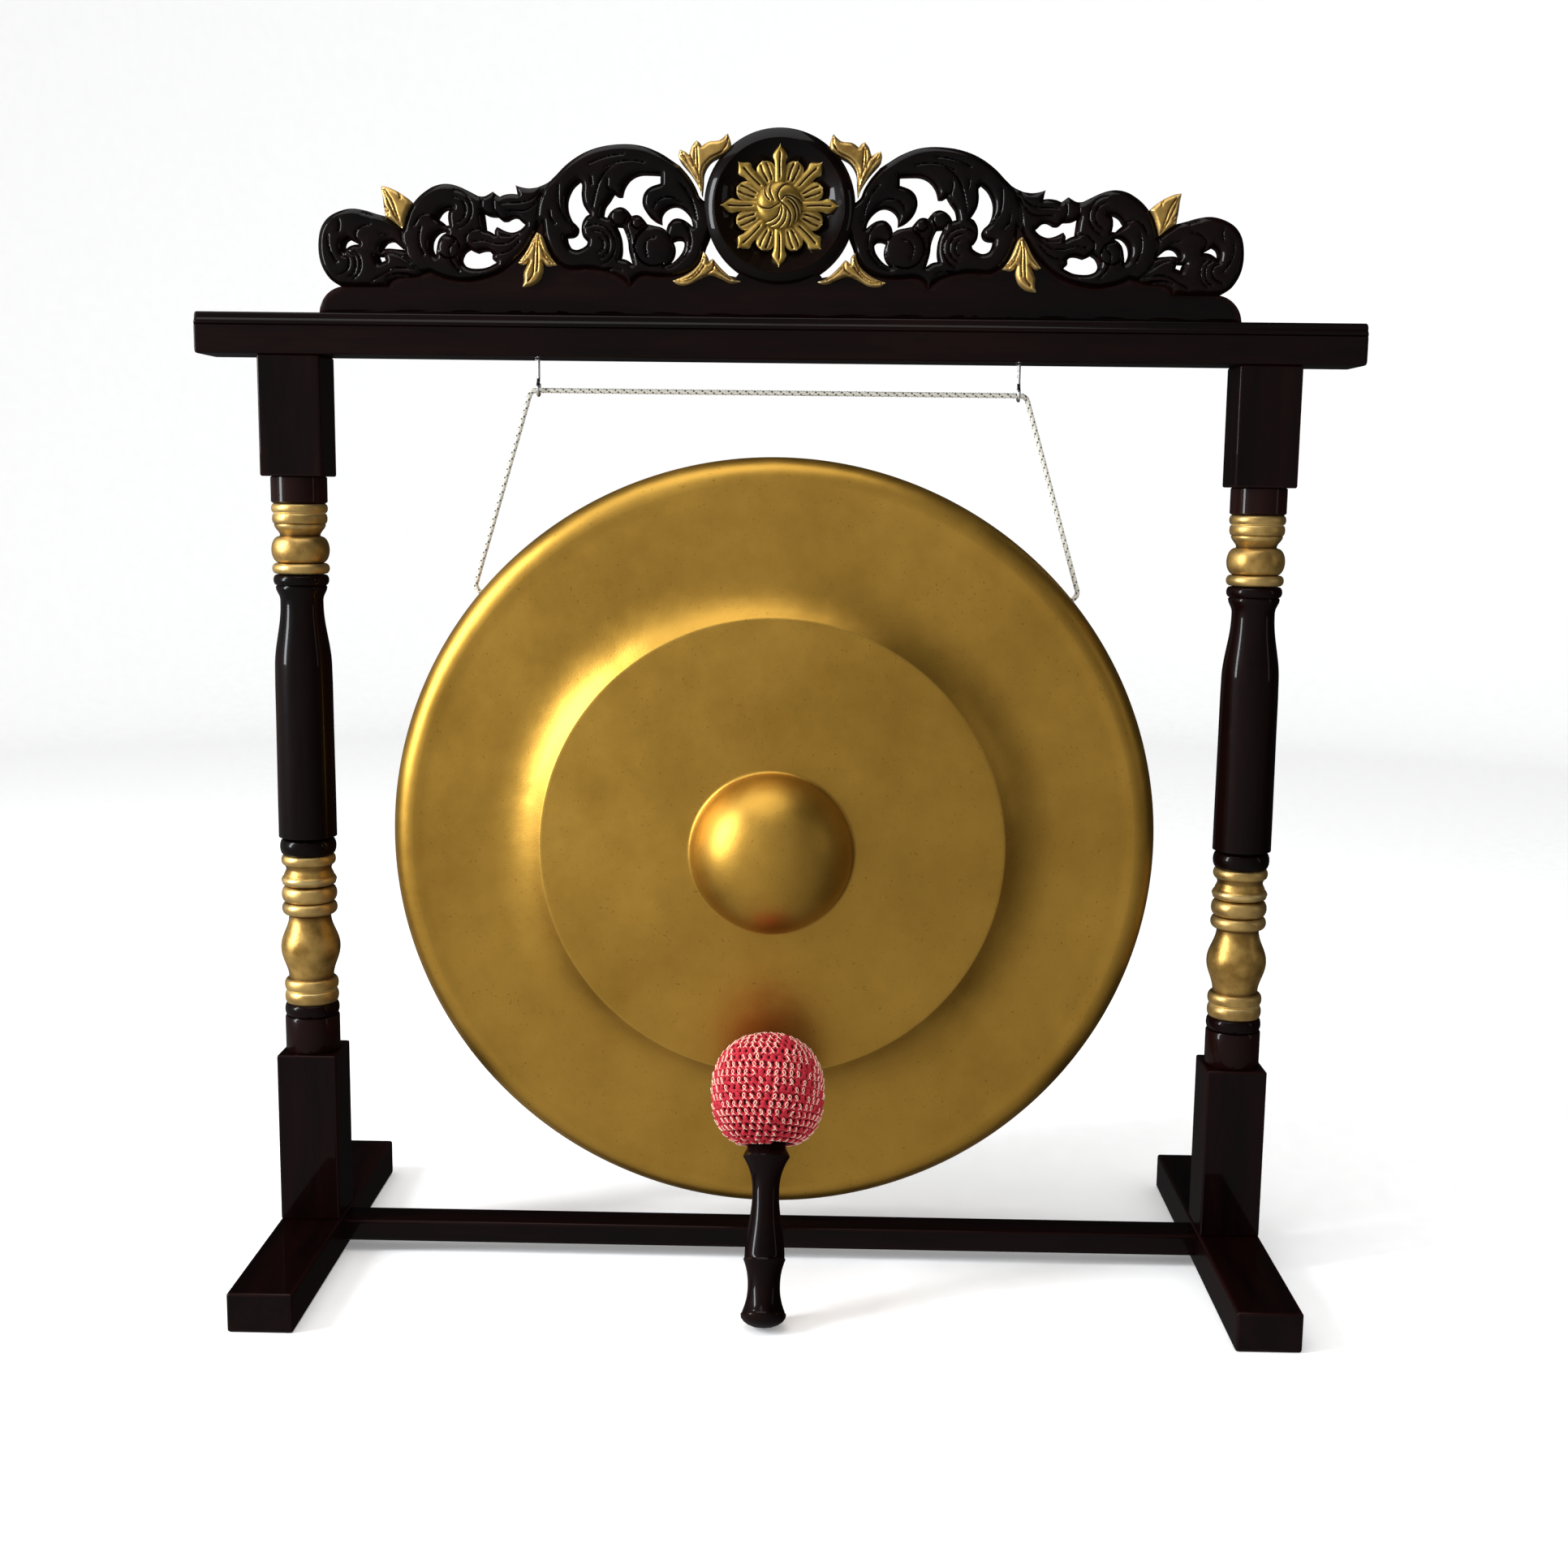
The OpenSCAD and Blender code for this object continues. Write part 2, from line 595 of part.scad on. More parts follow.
gong_lining = [for (i = [0:len(gong_outline) - 1])
    let (q = gong_outline[i] + wall * inward(gong_outline, i)) [max(q[0], 0), q[1]]];

// Balance point of the thin shell along its axis, from rings of equal wall thickness
function ring_area(a, b) = (a[0] + b[0]) * norm(b - a);
function total(v, i = 0) = i < len(v) ? v[i] + total(v, i + 1) : 0;
mid_line = (gong_outline + gong_lining) / 2;
ring_areas = [for (i = [0:len(mid_line) - 2]) ring_area(mid_line[i], mid_line[i + 1])];
ring_moments = [for (i = [0:len(mid_line) - 2]) ring_areas[i] * (mid_line[i][1] + mid_line[i + 1][1]) / 2];
balance_s = total(ring_moments) / total(ring_areas);

// Hanging from its holes, the gong tips until its balance point is below them
hang_tilt = atan((balance_s - hole_s) / (hole_r * sin(hole_angle)));
hang_y = hole_r * sin(hole_angle) * sin(hang_tilt) + hole_s * cos(hang_tilt);
hang_drop = hole_r * sin(hole_angle) * cos(hang_tilt) - hole_s * sin(hang_tilt);

// Puts a shape drawn on the gong's own axis where the gong hangs
module hung() {
    translate([0, hang_y, hang_z - hang_drop]) rotate([90 + hang_tilt, 0, 0]) children();
}

module gong() {
    back = [for (i = [len(gong_lining) - 1:-1:0]) gong_lining[i]];
    color(bronze) hung() difference() {
        rotate_extrude($fn = 180) polygon(concat(gong_outline, back));
        for (side = [-1, 1]) translate([0, 0, hole_s]) rotate([0, 0, 90 - side * (90 - hole_angle)])
            translate([hole_r - 20, 0, 0]) rotate([0, 90, 0]) cylinder(d = rope_hole_d, h = 40);
    }
}

// ---- hooks and sling ---------------------------------------------------------------------

hook_wire = 1.8;
hook_bend = 6;
hook_thread = 24;
hook_thread_r = 2.2;
rope_r = rope_d / 2;
rope_bend = 8;
// The rope rests on the inside of the hook's bend
hook_z = sling_z - rope_r - 0.3 + hook_bend - hook_wire;

// Open screw hook: a collar against the beam, a sweep to the back, and a round bend under the
// rope that ends in an upturned tip. The wire's centre line is given in [y, z].
hook_sweep = acos(1 - hook_bend / (2 * hook_bend + 4));
hook_ease = hook_bend + 2;
hook_neck = hook_z + 2 * hook_ease * sin(hook_sweep);
hook_line = concat(
    [[0, beam_z - 1], [0, (beam_z + hook_neck) / 2]],
    arc([hook_ease, hook_neck], hook_ease, 180, 180 + hook_sweep, 4),
    [for (i = [1:4]) let (a = hook_sweep * (1 - i / 4)) [hook_bend - hook_ease + hook_ease * cos(a),
                                                        hook_z + hook_ease * sin(a)]],
    [for (i = [1:11]) let (a = -180 * i / 11) [hook_bend * cos(a), hook_z + hook_bend * sin(a)]],
    [[-hook_bend, hook_z + 5]]
);

module hook() {
    color("silver") {
        rotate([0, 0, 90]) round_tube(hook_line, hook_wire, 12);
        translate([0, 0, beam_z - 1.5]) cylinder(r = 4, h = 1.5);
        translate([0, 0, beam_z - 1]) cylinder(r = hook_thread_r, h = hook_thread + 1);
    }
}

module left_hook() {
    translate([-hook_span / 2, 0, 0]) hook();
}

module right_hook() {
    translate([hook_span / 2, 0, 0]) hook();
}

// Half of the rope's route in [u, z]: across the span, over the hook, down the leg and
// through the flange hole to the knot
hole_point = [hole_r * cos(hole_angle), hang_z];
radial = [cos(hole_angle), sin(hole_angle)];
hook_turn = [hook_span / 2 + 2, sling_z - rope_bend];
hole_turn = hole_point + 6 * radial - rope_bend * [sin(180 - hole_angle), cos(180 - hole_angle)];
leg = hole_turn - hook_turn;
leg_angle = atan2(-leg[1], leg[0]);
leg_steps = 11;
span_steps = 14;
knot_gap = 2;
knot_r = 8;
knot_l = 14;
rope_tail = 12;
knot_start = hole_point - (wall + knot_gap) * radial;

function turn(c, t0, t1, n) = [for (i = [0:n]) let (t = t0 + (t1 - t0) * i / n) c + rope_bend * [sin(t), cos(t)]];

half_route = concat(
    [for (i = [1:span_steps - 1]) [hook_turn[0] * i / span_steps, sling_z]],
    turn(hook_turn, 0, leg_angle, 5),
    [for (i = [1:leg_steps - 1]) hook_turn + rope_bend * [sin(leg_angle), cos(leg_angle)] + leg * i / leg_steps],
    turn(hole_turn, leg_angle, 180 - hole_angle, 5),
    [knot_start]
);

route = concat([for (i = [len(half_route) - 1:-1:0]) [-half_route[i][0], half_route[i][1]]],
               [[0, sling_z]], half_route);

// Tube of n sides swept along a route that lies in the plane y = 0
module round_tube(path, r, n) {
    last = len(path) - 1;
    points = [for (i = [0:last])
        let (d = path[min(i + 1, last)] - path[max(i - 1, 0)], side = [-d[1], d[0]] / norm(d))
        for (k = [0:n - 1]) let (a = 360 * k / n)
            [path[i][0] + r * cos(a) * side[0], r * sin(a), path[i][1] + r * cos(a) * side[1]]];
    walls = [for (i = [0:last - 1]) for (k = [0:n - 1])
        [i * n + (k + 1) % n, (i + 1) * n + (k + 1) % n, (i + 1) * n + k, i * n + k]];
    polyhedron(points, concat([[for (k = [n - 1:-1:0]) k]], walls, [[for (k = [0:n - 1]) last * n + k]]));
}

module sling_rope() {
    color("ivory") round_tube(route, rope_r, 10);
}

// Stopper knot inside the flange, with the rope's short tail
module knot() {
    color("ivory") translate([knot_start[0], 0, knot_start[1]]) rotate([0, -90 - hole_angle, 0]) {
        rotate_extrude($fn = 32) polygon(concat([[0, 0]], [for (i = [0:8]) let (a = -90 + 180 * i / 8)
            [rope_r + (knot_r - rope_r) * cos(a), knot_l / 2 * (1 + sin(a))]], [[0, knot_l]]));
        translate([0, 0, knot_l - 1]) cylinder(r = rope_r - 0.1, h = rope_tail);
    }
}

module left_knot() {
    mirror([1, 0, 0]) knot();
}

module right_knot() {
    knot();
}

// ---- mallet ------------------------------------------------------------------------------
// Drawn on its own axis, with w = 0 at the middle of the head and the handle towards -w.

head_r = head_d / 2;
head_gap = 0.8;
// The hammered face may stand this much proud of its drawn line
face_rise = 1;
cover_t = 5;
core_r = 30;
stub_r = 11;
end_r = 23;

// Outer shape of the head, from its crown down to the mouth where the handle enters
mouth = 65;
function head_outline(r, n = 15) = [for (i = [0:n]) let (t = 90 - (90 + mouth) * i / n) r * [cos(t), sin(t)]];
head_floor = -(head_r - cover_t) * sin(mouth);

handle_outline = concat(
    [[0, -handle_l], [end_r - 11, -handle_l + 2], [end_r - 4, -handle_l + 5], [end_r, -handle_l + 10]],
    [[end_r, -handle_l + 13], [end_r - 2, -handle_l + 18]],
    ease(-handle_l + 22, -200, end_r - 4, 17, 3),
    ease(-198, -173, 17, 20.8, 4),
    [[20.8, -171]],
    ease(-169, -106, 20.2, 14, 8),
    ease(-100, -72, 14, 23, 6),
    [[24, -69], [24, -60], [22, -56], [22, head_floor]]
);

// Where the leaning mallet stands: the middle of its head, just clear of the gong's disc edge
mallet_z = handle_l * cos(mallet_lean) + 3.4;
disc_edge_y = hang_y - (mallet_z - (hang_z - hang_drop)) * tan(hang_tilt) - (disc_rise + face_rise) * cos(hang_tilt);
mallet_y = disc_edge_y - head_r - head_gap;

module leaning() {
    translate([0, mallet_y, mallet_z]) rotate([-mallet_lean, 0, 0]) children();
}

module mallet_handle() {
    color(lacquer) leaning() rotate_extrude() polygon(concat(handle_outline,
        [[stub_r, head_floor], [stub_r, core_r * 0.6], [0, core_r * 0.6]]));
}

module mallet_core() {
    color("tan") leaning() difference() {
        rotate_extrude() polygon(concat([[0, -core_r]], arc([core_r - 6, -core_r + 6], 6, 270, 360, 3),
            arc([core_r - 6, core_r - 6], 6, 0, 90, 3), [[0, core_r]]));
        translate([0, 0, -2 * core_r]) cylinder(r = stub_r + seam, h = 2.6 * core_r + seam);
    }
}

module mallet_padding() {
    inner = head_r - cover_t;
    color("linen") leaning() difference() {
        rotate_extrude() polygon(concat(head_outline(inner), [[0, head_floor]]));
        rotate_extrude() polygon(concat([[0, -core_r]], arc([core_r - 6, -core_r + 6], 6, 270, 360, 3),
            arc([core_r - 6, core_r - 6], 6, 0, 90, 3), [[0, core_r]]));
        translate([0, 0, -2 * head_r]) cylinder(r = stub_r + seam, h = 2 * head_r);
    }
}

module mallet_cover() {
    inner = head_outline(head_r - cover_t);
    outer = head_outline(head_r);
    color("crimson") leaning() rotate_extrude()
        polygon(concat(outer, [for (i = [len(inner) - 1:-1:0]) inner[i]]));
}

left_foot();
right_foot();
stretcher();
left_post();
right_post();
top_beam();
crest_plinth();
left_scrollwork();
right_scrollwork();
left_gold_leaves();
right_gold_leaves();
medallion();
rosette();
rosette_button();
left_hook();
right_hook();
sling_rope();
left_knot();
right_knot();
gong();
mallet_handle();
mallet_core();
mallet_padding();
mallet_cover();
foot_screws();
stretcher_pins();
beam_dowels();
crest_dowels();
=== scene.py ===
"""Looks of the bossed gong on its carved stand: camera, lights, pieces and materials.

Lengths in the tables below are millimetres, as a wood carver or a turner would note them; MM turns
them into the frame's metres. The frame is +X right, +Y away from the player, +Z up.
"""
import json
import math

import bmesh
import bpy
import numpy as np
from mathutils import Matrix, Vector
from mathutils.geometry import delaunay_2d_cdt


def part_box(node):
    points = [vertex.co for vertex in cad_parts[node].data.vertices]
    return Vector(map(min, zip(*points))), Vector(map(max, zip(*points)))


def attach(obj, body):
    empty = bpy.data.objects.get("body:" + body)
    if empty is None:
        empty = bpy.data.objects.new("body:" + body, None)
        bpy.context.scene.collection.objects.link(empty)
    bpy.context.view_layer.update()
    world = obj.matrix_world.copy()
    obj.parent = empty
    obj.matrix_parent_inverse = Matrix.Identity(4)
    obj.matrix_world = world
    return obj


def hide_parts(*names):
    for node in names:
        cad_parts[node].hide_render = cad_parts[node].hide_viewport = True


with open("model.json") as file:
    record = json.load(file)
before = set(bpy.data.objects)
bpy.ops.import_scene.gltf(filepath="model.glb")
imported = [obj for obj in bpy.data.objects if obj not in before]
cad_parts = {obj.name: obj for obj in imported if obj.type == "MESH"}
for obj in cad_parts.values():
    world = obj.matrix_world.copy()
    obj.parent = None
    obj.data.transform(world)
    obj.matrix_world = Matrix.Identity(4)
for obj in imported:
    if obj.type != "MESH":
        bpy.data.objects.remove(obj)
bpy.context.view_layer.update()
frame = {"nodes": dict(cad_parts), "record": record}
MM = 0.001

# Driving places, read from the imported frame
BEAM_LOW, BEAM_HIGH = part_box("top_beam")
POST_LOW, POST_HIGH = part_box("right_post")
FOOT_LOW, FOOT_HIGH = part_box("right_foot")
BAR_LOW, BAR_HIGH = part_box("stretcher")
POST_X = (POST_LOW.x + POST_HIGH.x) / 2
CREST_Z = BEAM_HIGH.z
SIDES = {"left": -1, "right": 1}


# ---- meshes ---------------------------------------------------------------------------------

def make_object(name, verts, faces, material, body, slot, sharp=40, matrix=None):
    """A smooth-shaded mesh piece in metres, creased where faces meet at more than `sharp` degrees."""
    mesh = bpy.data.meshes.new(name)
    mesh.from_pydata([tuple(v) for v in verts], [], [tuple(int(i) for i in f) for f in faces])
    if matrix is not None:
        mesh.transform(matrix)
    mesh.validate()
    mesh.shade_smooth()
    mesh.set_sharp_from_angle(angle=math.radians(sharp))
    mesh.materials.append(material)
    piece = bpy.data.objects.new(name, mesh)
    bpy.context.scene.collection.objects.link(piece)
    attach(piece, body)
    return piece


def join_parts(parts):
    """One (verts, faces) from several."""
    verts, faces, start = [], [], 0
    for part_verts, part_faces in parts:
        part_verts = np.asarray(part_verts, float)
        verts.append(part_verts)
        faces += [[i + start for i in face] for face in part_faces]
        start += len(part_verts)
    return np.vstack(verts), faces


def ring_faces(rings, around):
    """Quads between neighbouring rings of `around` vertices each, stored one ring after another."""
    return [[i * around + k, i * around + (k + 1) % around,
             (i + 1) * around + (k + 1) % around, (i + 1) * around + k]
            for i in range(rings - 1) for k in range(around)]


def lathe(profile, segments=96):
    """Turned solid about +Z from a profile of (radius, height) in mm that starts and ends on the axis.

    The profile runs with the solid on its left. Returns (verts, faces) in metres.
    """
    angle = np.linspace(0, 2 * math.pi, segments, endpoint=False)
    low, high = profile[0][1], profile[-1][1]
    rings = [(r, h) for r, h in profile if r > 0]
    verts = [(r * math.cos(a), r * math.sin(a), h) for r, h in rings for a in angle]
    faces = ring_faces(len(rings), segments)
    first, last = len(verts), len(verts) + 1
    verts += [(0, 0, low), (0, 0, high)]
    top = (len(rings) - 1) * segments
    faces += [[(k + 1) % segments, k, first] for k in range(segments)]
    faces += [[top + k, top + (k + 1) % segments, last] for k in range(segments)]
    return np.array(verts) * MM, faces


def directions(path):
    """Unit direction of a path at each of its points."""
    along = np.gradient(path, axis=0)
    return along / np.linalg.norm(along, axis=1)[:, None]


def tube(path, normals, radius, sides, flat=1.0):
    """Tube along a path; `normals` are rough side directions, and `flat` squeezes it along them."""
    path, normals = np.asarray(path, float), np.asarray(normals, float)
    along = directions(path)
    side = np.cross(along, normals)
    side /= np.linalg.norm(side, axis=1)[:, None]
    up = np.cross(along, side)
    angle = np.linspace(0, 2 * math.pi, sides, endpoint=False)
    rings = (path[:, None] + radius * np.cos(angle)[None, :, None] * side[:, None]
             + radius * flat * np.sin(angle)[None, :, None] * up[:, None])
    last = (len(path) - 1) * sides
    faces = ring_faces(len(path), sides)
    faces += [list(range(sides))[::-1], list(range(last, last + sides))]
    return rings.reshape(-1, 3), faces


def bar(low, high, bevel):
    """Timber from corner to corner, in metres, with all its arrises eased by `bevel` metres.

    Each side is inset twice, so that the edge colour, rubbed wear with a painted highlight, stays at the
    arrises.
    """
    mesh = bmesh.new()
    bmesh.ops.create_cube(mesh, size=1)
    for v in mesh.verts:
        v.co = [low[i] if v.co[i] < 0 else high[i] for i in range(3)]
    bmesh.ops.bevel(mesh, geom=mesh.edges[:], offset=bevel, segments=3, profile=0.5, affect="EDGES")
    sides = sorted(mesh.faces, key=lambda face: face.calc_area())[-6:]
    for _ in range(2):
        bmesh.ops.inset_individual(mesh, faces=sides, thickness=1.5 * MM)
    mesh.verts.index_update()
    part = [v.co[:] for v in mesh.verts], [[v.index for v in f.verts] for f in mesh.faces]
    mesh.free()
    return part


# ---- curves in the plane --------------------------------------------------------------------

def run(points, n=4):
    """Smooth run through given points, without its last point."""
    p = np.asarray(points, float)
    last = len(p) - 1
    out = []
    for i in range(last):
        a, b, c, d = p[max(i - 1, 0)], p[i], p[i + 1], p[min(i + 2, last)]
        for k in range(n):
            t = k / n
            out.append(0.5 * (2 * b + (c - a) * t + (2 * a - 5 * b + 4 * c - d) * t * t
                              + (3 * b - a - 3 * c + d) * t ** 3))
    return out


def outline(start, *runs):
    """Smooth runs that meet at corners: each one goes on from where the one before it ended."""
    points = []
    for further in runs:
        points += run([start] + further)
        start = further[-1]
    return np.array(points)


def line(*points):
    """Open smooth line, its last point included."""
    return np.array(run(points) + [np.array(points[-1], float)])


def arc(centre, radius, start, end, steps):
    """Points on an arc, its angles in degrees."""
    angle = np.radians(np.linspace(start, end, steps + 1))
    return np.stack([centre[0] + radius * np.cos(angle), centre[1] + radius * np.sin(angle)], 1)


def distance(points, path, closed=False):
    """Distance of each point from a path."""
    a = np.asarray(path, float)
    b = np.roll(a, -1, 0) if closed else a[1:]
    a = a if closed else a[:-1]
    ab = b - a
    length2 = np.maximum((ab ** 2).sum(1), 1e-9)
    best = np.full(len(points), 1e9)
    for start in range(0, len(points), 4000):
        ap = points[start:start + 4000, None] - a[None]
        t = np.clip((ap * ab[None]).sum(-1) / length2[None], 0, 1)
        gap = np.linalg.norm(ap - t[..., None] * ab[None], axis=-1)
        best[start:start + 4000] = gap.min(1)
    return best


def inside(points, loops):
    """True where a point is inside an odd number of closed loops."""
    odd = np.zeros(len(points), bool)
    for loop in loops:
        a, b = loop, np.roll(loop, -1, 0)
        for (x0, y0), (x1, y1) in zip(a, b):
            if y0 == y1:
                continue
            crosses = (points[:, 1] < max(y0, y1)) & (points[:, 1] >= min(y0, y1))
            odd ^= crosses & (points[:, 0] < x0 + (points[:, 1] - y0) * (x1 - x0) / (y1 - y0))
    return odd


def carve(loops, height, back, step=1.4):
    """Carved relief: the area inside `loops` in (u, z), with its front at height(points) and a flat back.

    Heights run towards the player. Returns (verts, faces) in metres, u along +X.
    """
    low, high = np.vstack(loops).min(0), np.vstack(loops).max(0)
    columns = np.arange(low[0], high[0] + step, step)
    rows = np.arange(low[1], high[1] + step, step * 0.87)
    grid = np.array([(u + (step / 2 if i % 2 else 0), z) for i, z in enumerate(rows) for u in columns])
    grid = grid[inside(grid, loops)]
    edge = np.min([distance(grid, loop, closed=True) for loop in loops], axis=0)
    grid = grid[edge > step * 0.55]
    rim = np.vstack(loops)
    edges, start = [], 0
    for loop in loops:
        edges += [(start + i, start + (i + 1) % len(loop)) for i in range(len(loop))]
        start += len(loop)

    def triangles(points):
        made = delaunay_2d_cdt([Vector(p) for p in points], edges, [], 0, 1e-5)
        flat = np.array([v[:] for v in made[0]])
        faces = np.array([f for f in made[2] if len(f) == 3])
        kept = faces[inside(flat[faces].mean(1), loops)]
        ab, ac = flat[kept[:, 1]] - flat[kept[:, 0]], flat[kept[:, 2]] - flat[kept[:, 0]]
        turned = ab[:, 0] * ac[:, 1] - ab[:, 1] * ac[:, 0] < 0
        kept[turned] = kept[turned][:, ::-1]
        place = {given: made_index for made_index, sources in enumerate(made[3]) for given in sources}
        return flat, kept, place

    front, front_faces, front_place = triangles(np.vstack([rim, grid]))
    rear, rear_faces, rear_place = triangles(rim)
    front3 = np.column_stack([front[:, 0], -height(front), front[:, 1]]) * MM
    rear3 = np.column_stack([rear[:, 0], np.full(len(rear), back), rear[:, 1]]) * MM
    faces = [list(f) for f in front_faces] + [list(f[::-1] + len(front)) for f in rear_faces]
    start = 0
    for n, loop in enumerate(loops):
        after = np.roll(loop, -1, 0)
        anticlockwise = (loop[:, 0] * after[:, 1] - loop[:, 1] * after[:, 0]).sum() > 0
        for i in range(len(loop)):
            a, b = start + i, start + (i + 1) % len(loop)
            wall = [front_place[a], len(front) + rear_place[a], len(front) + rear_place[b], front_place[b]]
            faces.append(wall if anticlockwise == (n == 0) else wall[::-1])
        start += len(loop)
    return np.vstack([front3, rear3]), faces


# ---- materials ------------------------------------------------------------------------------

def add_node(tree, kind, links=None, **settings):
    """A shader node with its settings, and its sockets linked or set."""
    node = tree.nodes.new(kind)
    for name, value in settings.items():
        setattr(node, name, value)
    for socket, value in (links or {}).items():
        target = node.inputs[socket]
        if isinstance(value, bpy.types.NodeSocket):
            tree.links.new(value, target)
        else:
            target.default_value = value
    return node


class Shade:
    """A procedural material, built node by node round one Principled shader."""

    def __init__(self, name, **sockets):
        self.material = bpy.data.materials.new(name)
        self.material.use_nodes = True
        self.tree = self.material.node_tree
        self.shader = self.tree.nodes["Principled BSDF"]
        for socket, value in sockets.items():
            self.shader.inputs[socket.replace("_", " ")].default_value = value
        self.place = self.node("ShaderNodeTexCoord").outputs["Object"]
        self.normal = None

    def node(self, kind, links=None, **settings):
        """A node of this material."""
        return add_node(self.tree, kind, links, **settings)

    def stretched(self, scale):
        """The object's coordinates stretched by (x, y, z)."""
        return self.node("ShaderNodeMapping", {"Vector": self.place, "Scale": scale}).outputs["Vector"]

    def noise(self, scale, detail=3, roughness=0.5, stretch=None):
        """Fractal noise over the object, stretched along its grain if asked."""
        vector = self.place if stretch is None else self.stretched(stretch)
        return self.node("ShaderNodeTexNoise", {"Vector": vector, "Scale": scale, "Detail": detail,
                                                "Roughness": roughness}).outputs["Fac"]

    def ramp(self, value, *stops):
        """Colour ramp through (position, colour) stops; a colour may be one grey number."""
        node = self.node("ShaderNodeValToRGB", {"Fac": value})
        elements = node.color_ramp.elements
        while len(elements) < len(stops):
            elements.new(0.5)
        for element, (position, colour) in zip(elements, stops):
            is_grey = isinstance(colour, (int, float))
            element.position = position
            element.color = (colour, colour, colour, 1) if is_grey else (*colour, 1)
        return node.outputs["Color"]

    def mix(self, factor, a, b):
        """Colour a where the factor is 0 and colour b where it is 1; b is given as plain numbers."""
        links = {0: factor, 6: a, 7: (*b, 1)}
        return self.node("ShaderNodeMix", links, data_type="RGBA", blend_type="MIX").outputs[2]

    def pointed(self, low, high):
        """1 on raised edges, 0 in flat places and hollows."""
        geometry = self.node("ShaderNodeNewGeometry")
        return self.ramp(geometry.outputs["Pointiness"], (low, 0.0), (high, 1.0))

    def bump(self, height, distance, strength=1.0):
        """Relief of `distance` metres, added to the relief so far."""
        links = {"Height": height, "Distance": distance, "Strength": strength}
        if self.normal is not None:
            links["Normal"] = self.normal
        self.normal = self.node("ShaderNodeBump", links).outputs["Normal"]

    def finish(self, colour, roughness):
        """Joins colour, roughness and relief to the shader, and returns the material."""
        self.tree.links.new(colour, self.shader.inputs["Base Color"])
        self.tree.links.new(roughness, self.shader.inputs["Roughness"])
        if self.normal is not None:
            self.tree.links.new(self.normal, self.shader.inputs["Normal"])
        return self.material


def lacquered_wood(name, grain, dark=(0.0009, 0.0002, 0.0002), light=(0.0056, 0.0009, 0.0007),
                   waves=0.0005):
    """Dark stained wood under a glossy lacquer; `grain` stretches the figure along the timber."""
    shade = Shade(name, Coat_Weight=0.28, Coat_Roughness=0.05, Coat_IOR=1.35, Specular_IOR_Level=0.03)
    figure = shade.noise(26, 6, 0.65, stretch=grain)
    pores = shade.noise(210, 3, 0.6, stretch=grain)
    stain = shade.ramp(figure, (0.34, dark), (0.68, light))
    colour = shade.mix(shade.ramp(pores, (0.56, 0.0), (0.70, 0.5)), stain, (0.0010, 0.0007, 0.0007))
    # Lighter red-brown on raised edges: partly rubbed wear, partly a painted highlight
    colour = shade.mix(shade.pointed(0.53, 0.62), colour, (0.015, 0.004, 0.003))
    shade.bump(pores, 0.00015, 0.4)
    shade.bump(shade.noise(38, 2), waves, 0.5)
    return shade.finish(colour, shade.ramp(figure, (0.3, 0.30), (0.7, 0.44)))


def gold_paint(name, dull, fresh):
    """Old gold paint: brown and painted shade in the cuts, rubbed and painted highlight on raised edges."""
    shade = Shade(name, Metallic=0.9)
    patches = shade.noise(60, 4)
    colour = shade.ramp(patches, (0.32, dull), (0.70, fresh))
    geometry = shade.node("ShaderNodeNewGeometry")
    # Dark brown in the hollows: the paint's browner tone in the cuts, deepened as painted shade
    hollow = shade.ramp(geometry.outputs["Pointiness"], (0.43, 1.0), (0.498, 0.0))
    colour = shade.mix(hollow, colour, (0.050, 0.020, 0.006))
    # Pale gold on raised edges: rubbed wear with a painted highlight
    colour = shade.mix(shade.pointed(0.515, 0.60), colour, (0.80, 0.62, 0.29))
    shade.bump(shade.noise(420, 3), 0.0002, 0.6)
    shade.bump(shade.noise(90, 2), 0.0006, 0.5)
    return shade.finish(colour, shade.ramp(patches, (0.3, 0.34), (0.7, 0.48)))


def gong_bronze():
    """Hammered brass-coloured bronze, rubbed to a satin face with a dull olive bloom."""
    shade = Shade("gong_bronze", Metallic=1.0)
    bloom = shade.noise(7, 5, 0.62)
    specks = shade.noise(330, 2)
    colour = shade.ramp(bloom, (0.30, (0.37, 0.200, 0.031)), (0.72, (0.52, 0.297, 0.052)))
    colour = shade.mix(shade.ramp(specks, (0.66, 0.0), (0.76, 0.55)), colour, (0.14, 0.075, 0.012))
    # Brighter gold on raised edges and ridges: a painted highlight
    colour = shade.mix(shade.pointed(0.515, 0.57), colour, (0.75, 0.50, 0.12))
    dents = shade.node("ShaderNodeTexVoronoi", {"Vector": shade.place, "Scale": 42.0, "Smoothness": 0.8},
                       feature="SMOOTH_F1").outputs["Distance"]
    shade.bump(dents, 0.0011, 0.22)
    shade.bump(shade.noise(14, 3), 0.004, 0.30)
    shade.bump(shade.noise(520, 2), 0.00012, 0.6)
    return shade.finish(colour, shade.ramp(bloom, (0.3, 0.37), (0.7, 0.48)))


def steel():
    """Bright plated steel wire with faint drawing lines."""
    shade = Shade("bright_steel", Metallic=1.0)
    lines = shade.noise(900, 2, stretch=(1, 1, 0.05))
    shade.bump(lines, 0.00005, 0.5)
    return shade.finish(shade.ramp(lines, (0.3, (0.62, 0.62, 0.64)), (0.7, (0.80, 0.80, 0.82))),
                        shade.ramp(lines, (0.3, 0.14), (0.7, 0.26)))


def fibre(name, low, high, fuzz=0.35):
    """Spun yarn or cord: colour that wanders along fine fibres, with a soft sheen."""
    shade = Shade(name, Sheen_Weight=fuzz, Sheen_Roughness=0.5)
    strands = shade.noise(1500, 2)
    shade.bump(strands, 0.0003, 0.8)
    colour = shade.ramp(shade.noise(420, 3), (0.30, low), (0.72, high))
    return shade.finish(colour, shade.ramp(strands, (0.3, 0.72), (0.7, 0.92)))


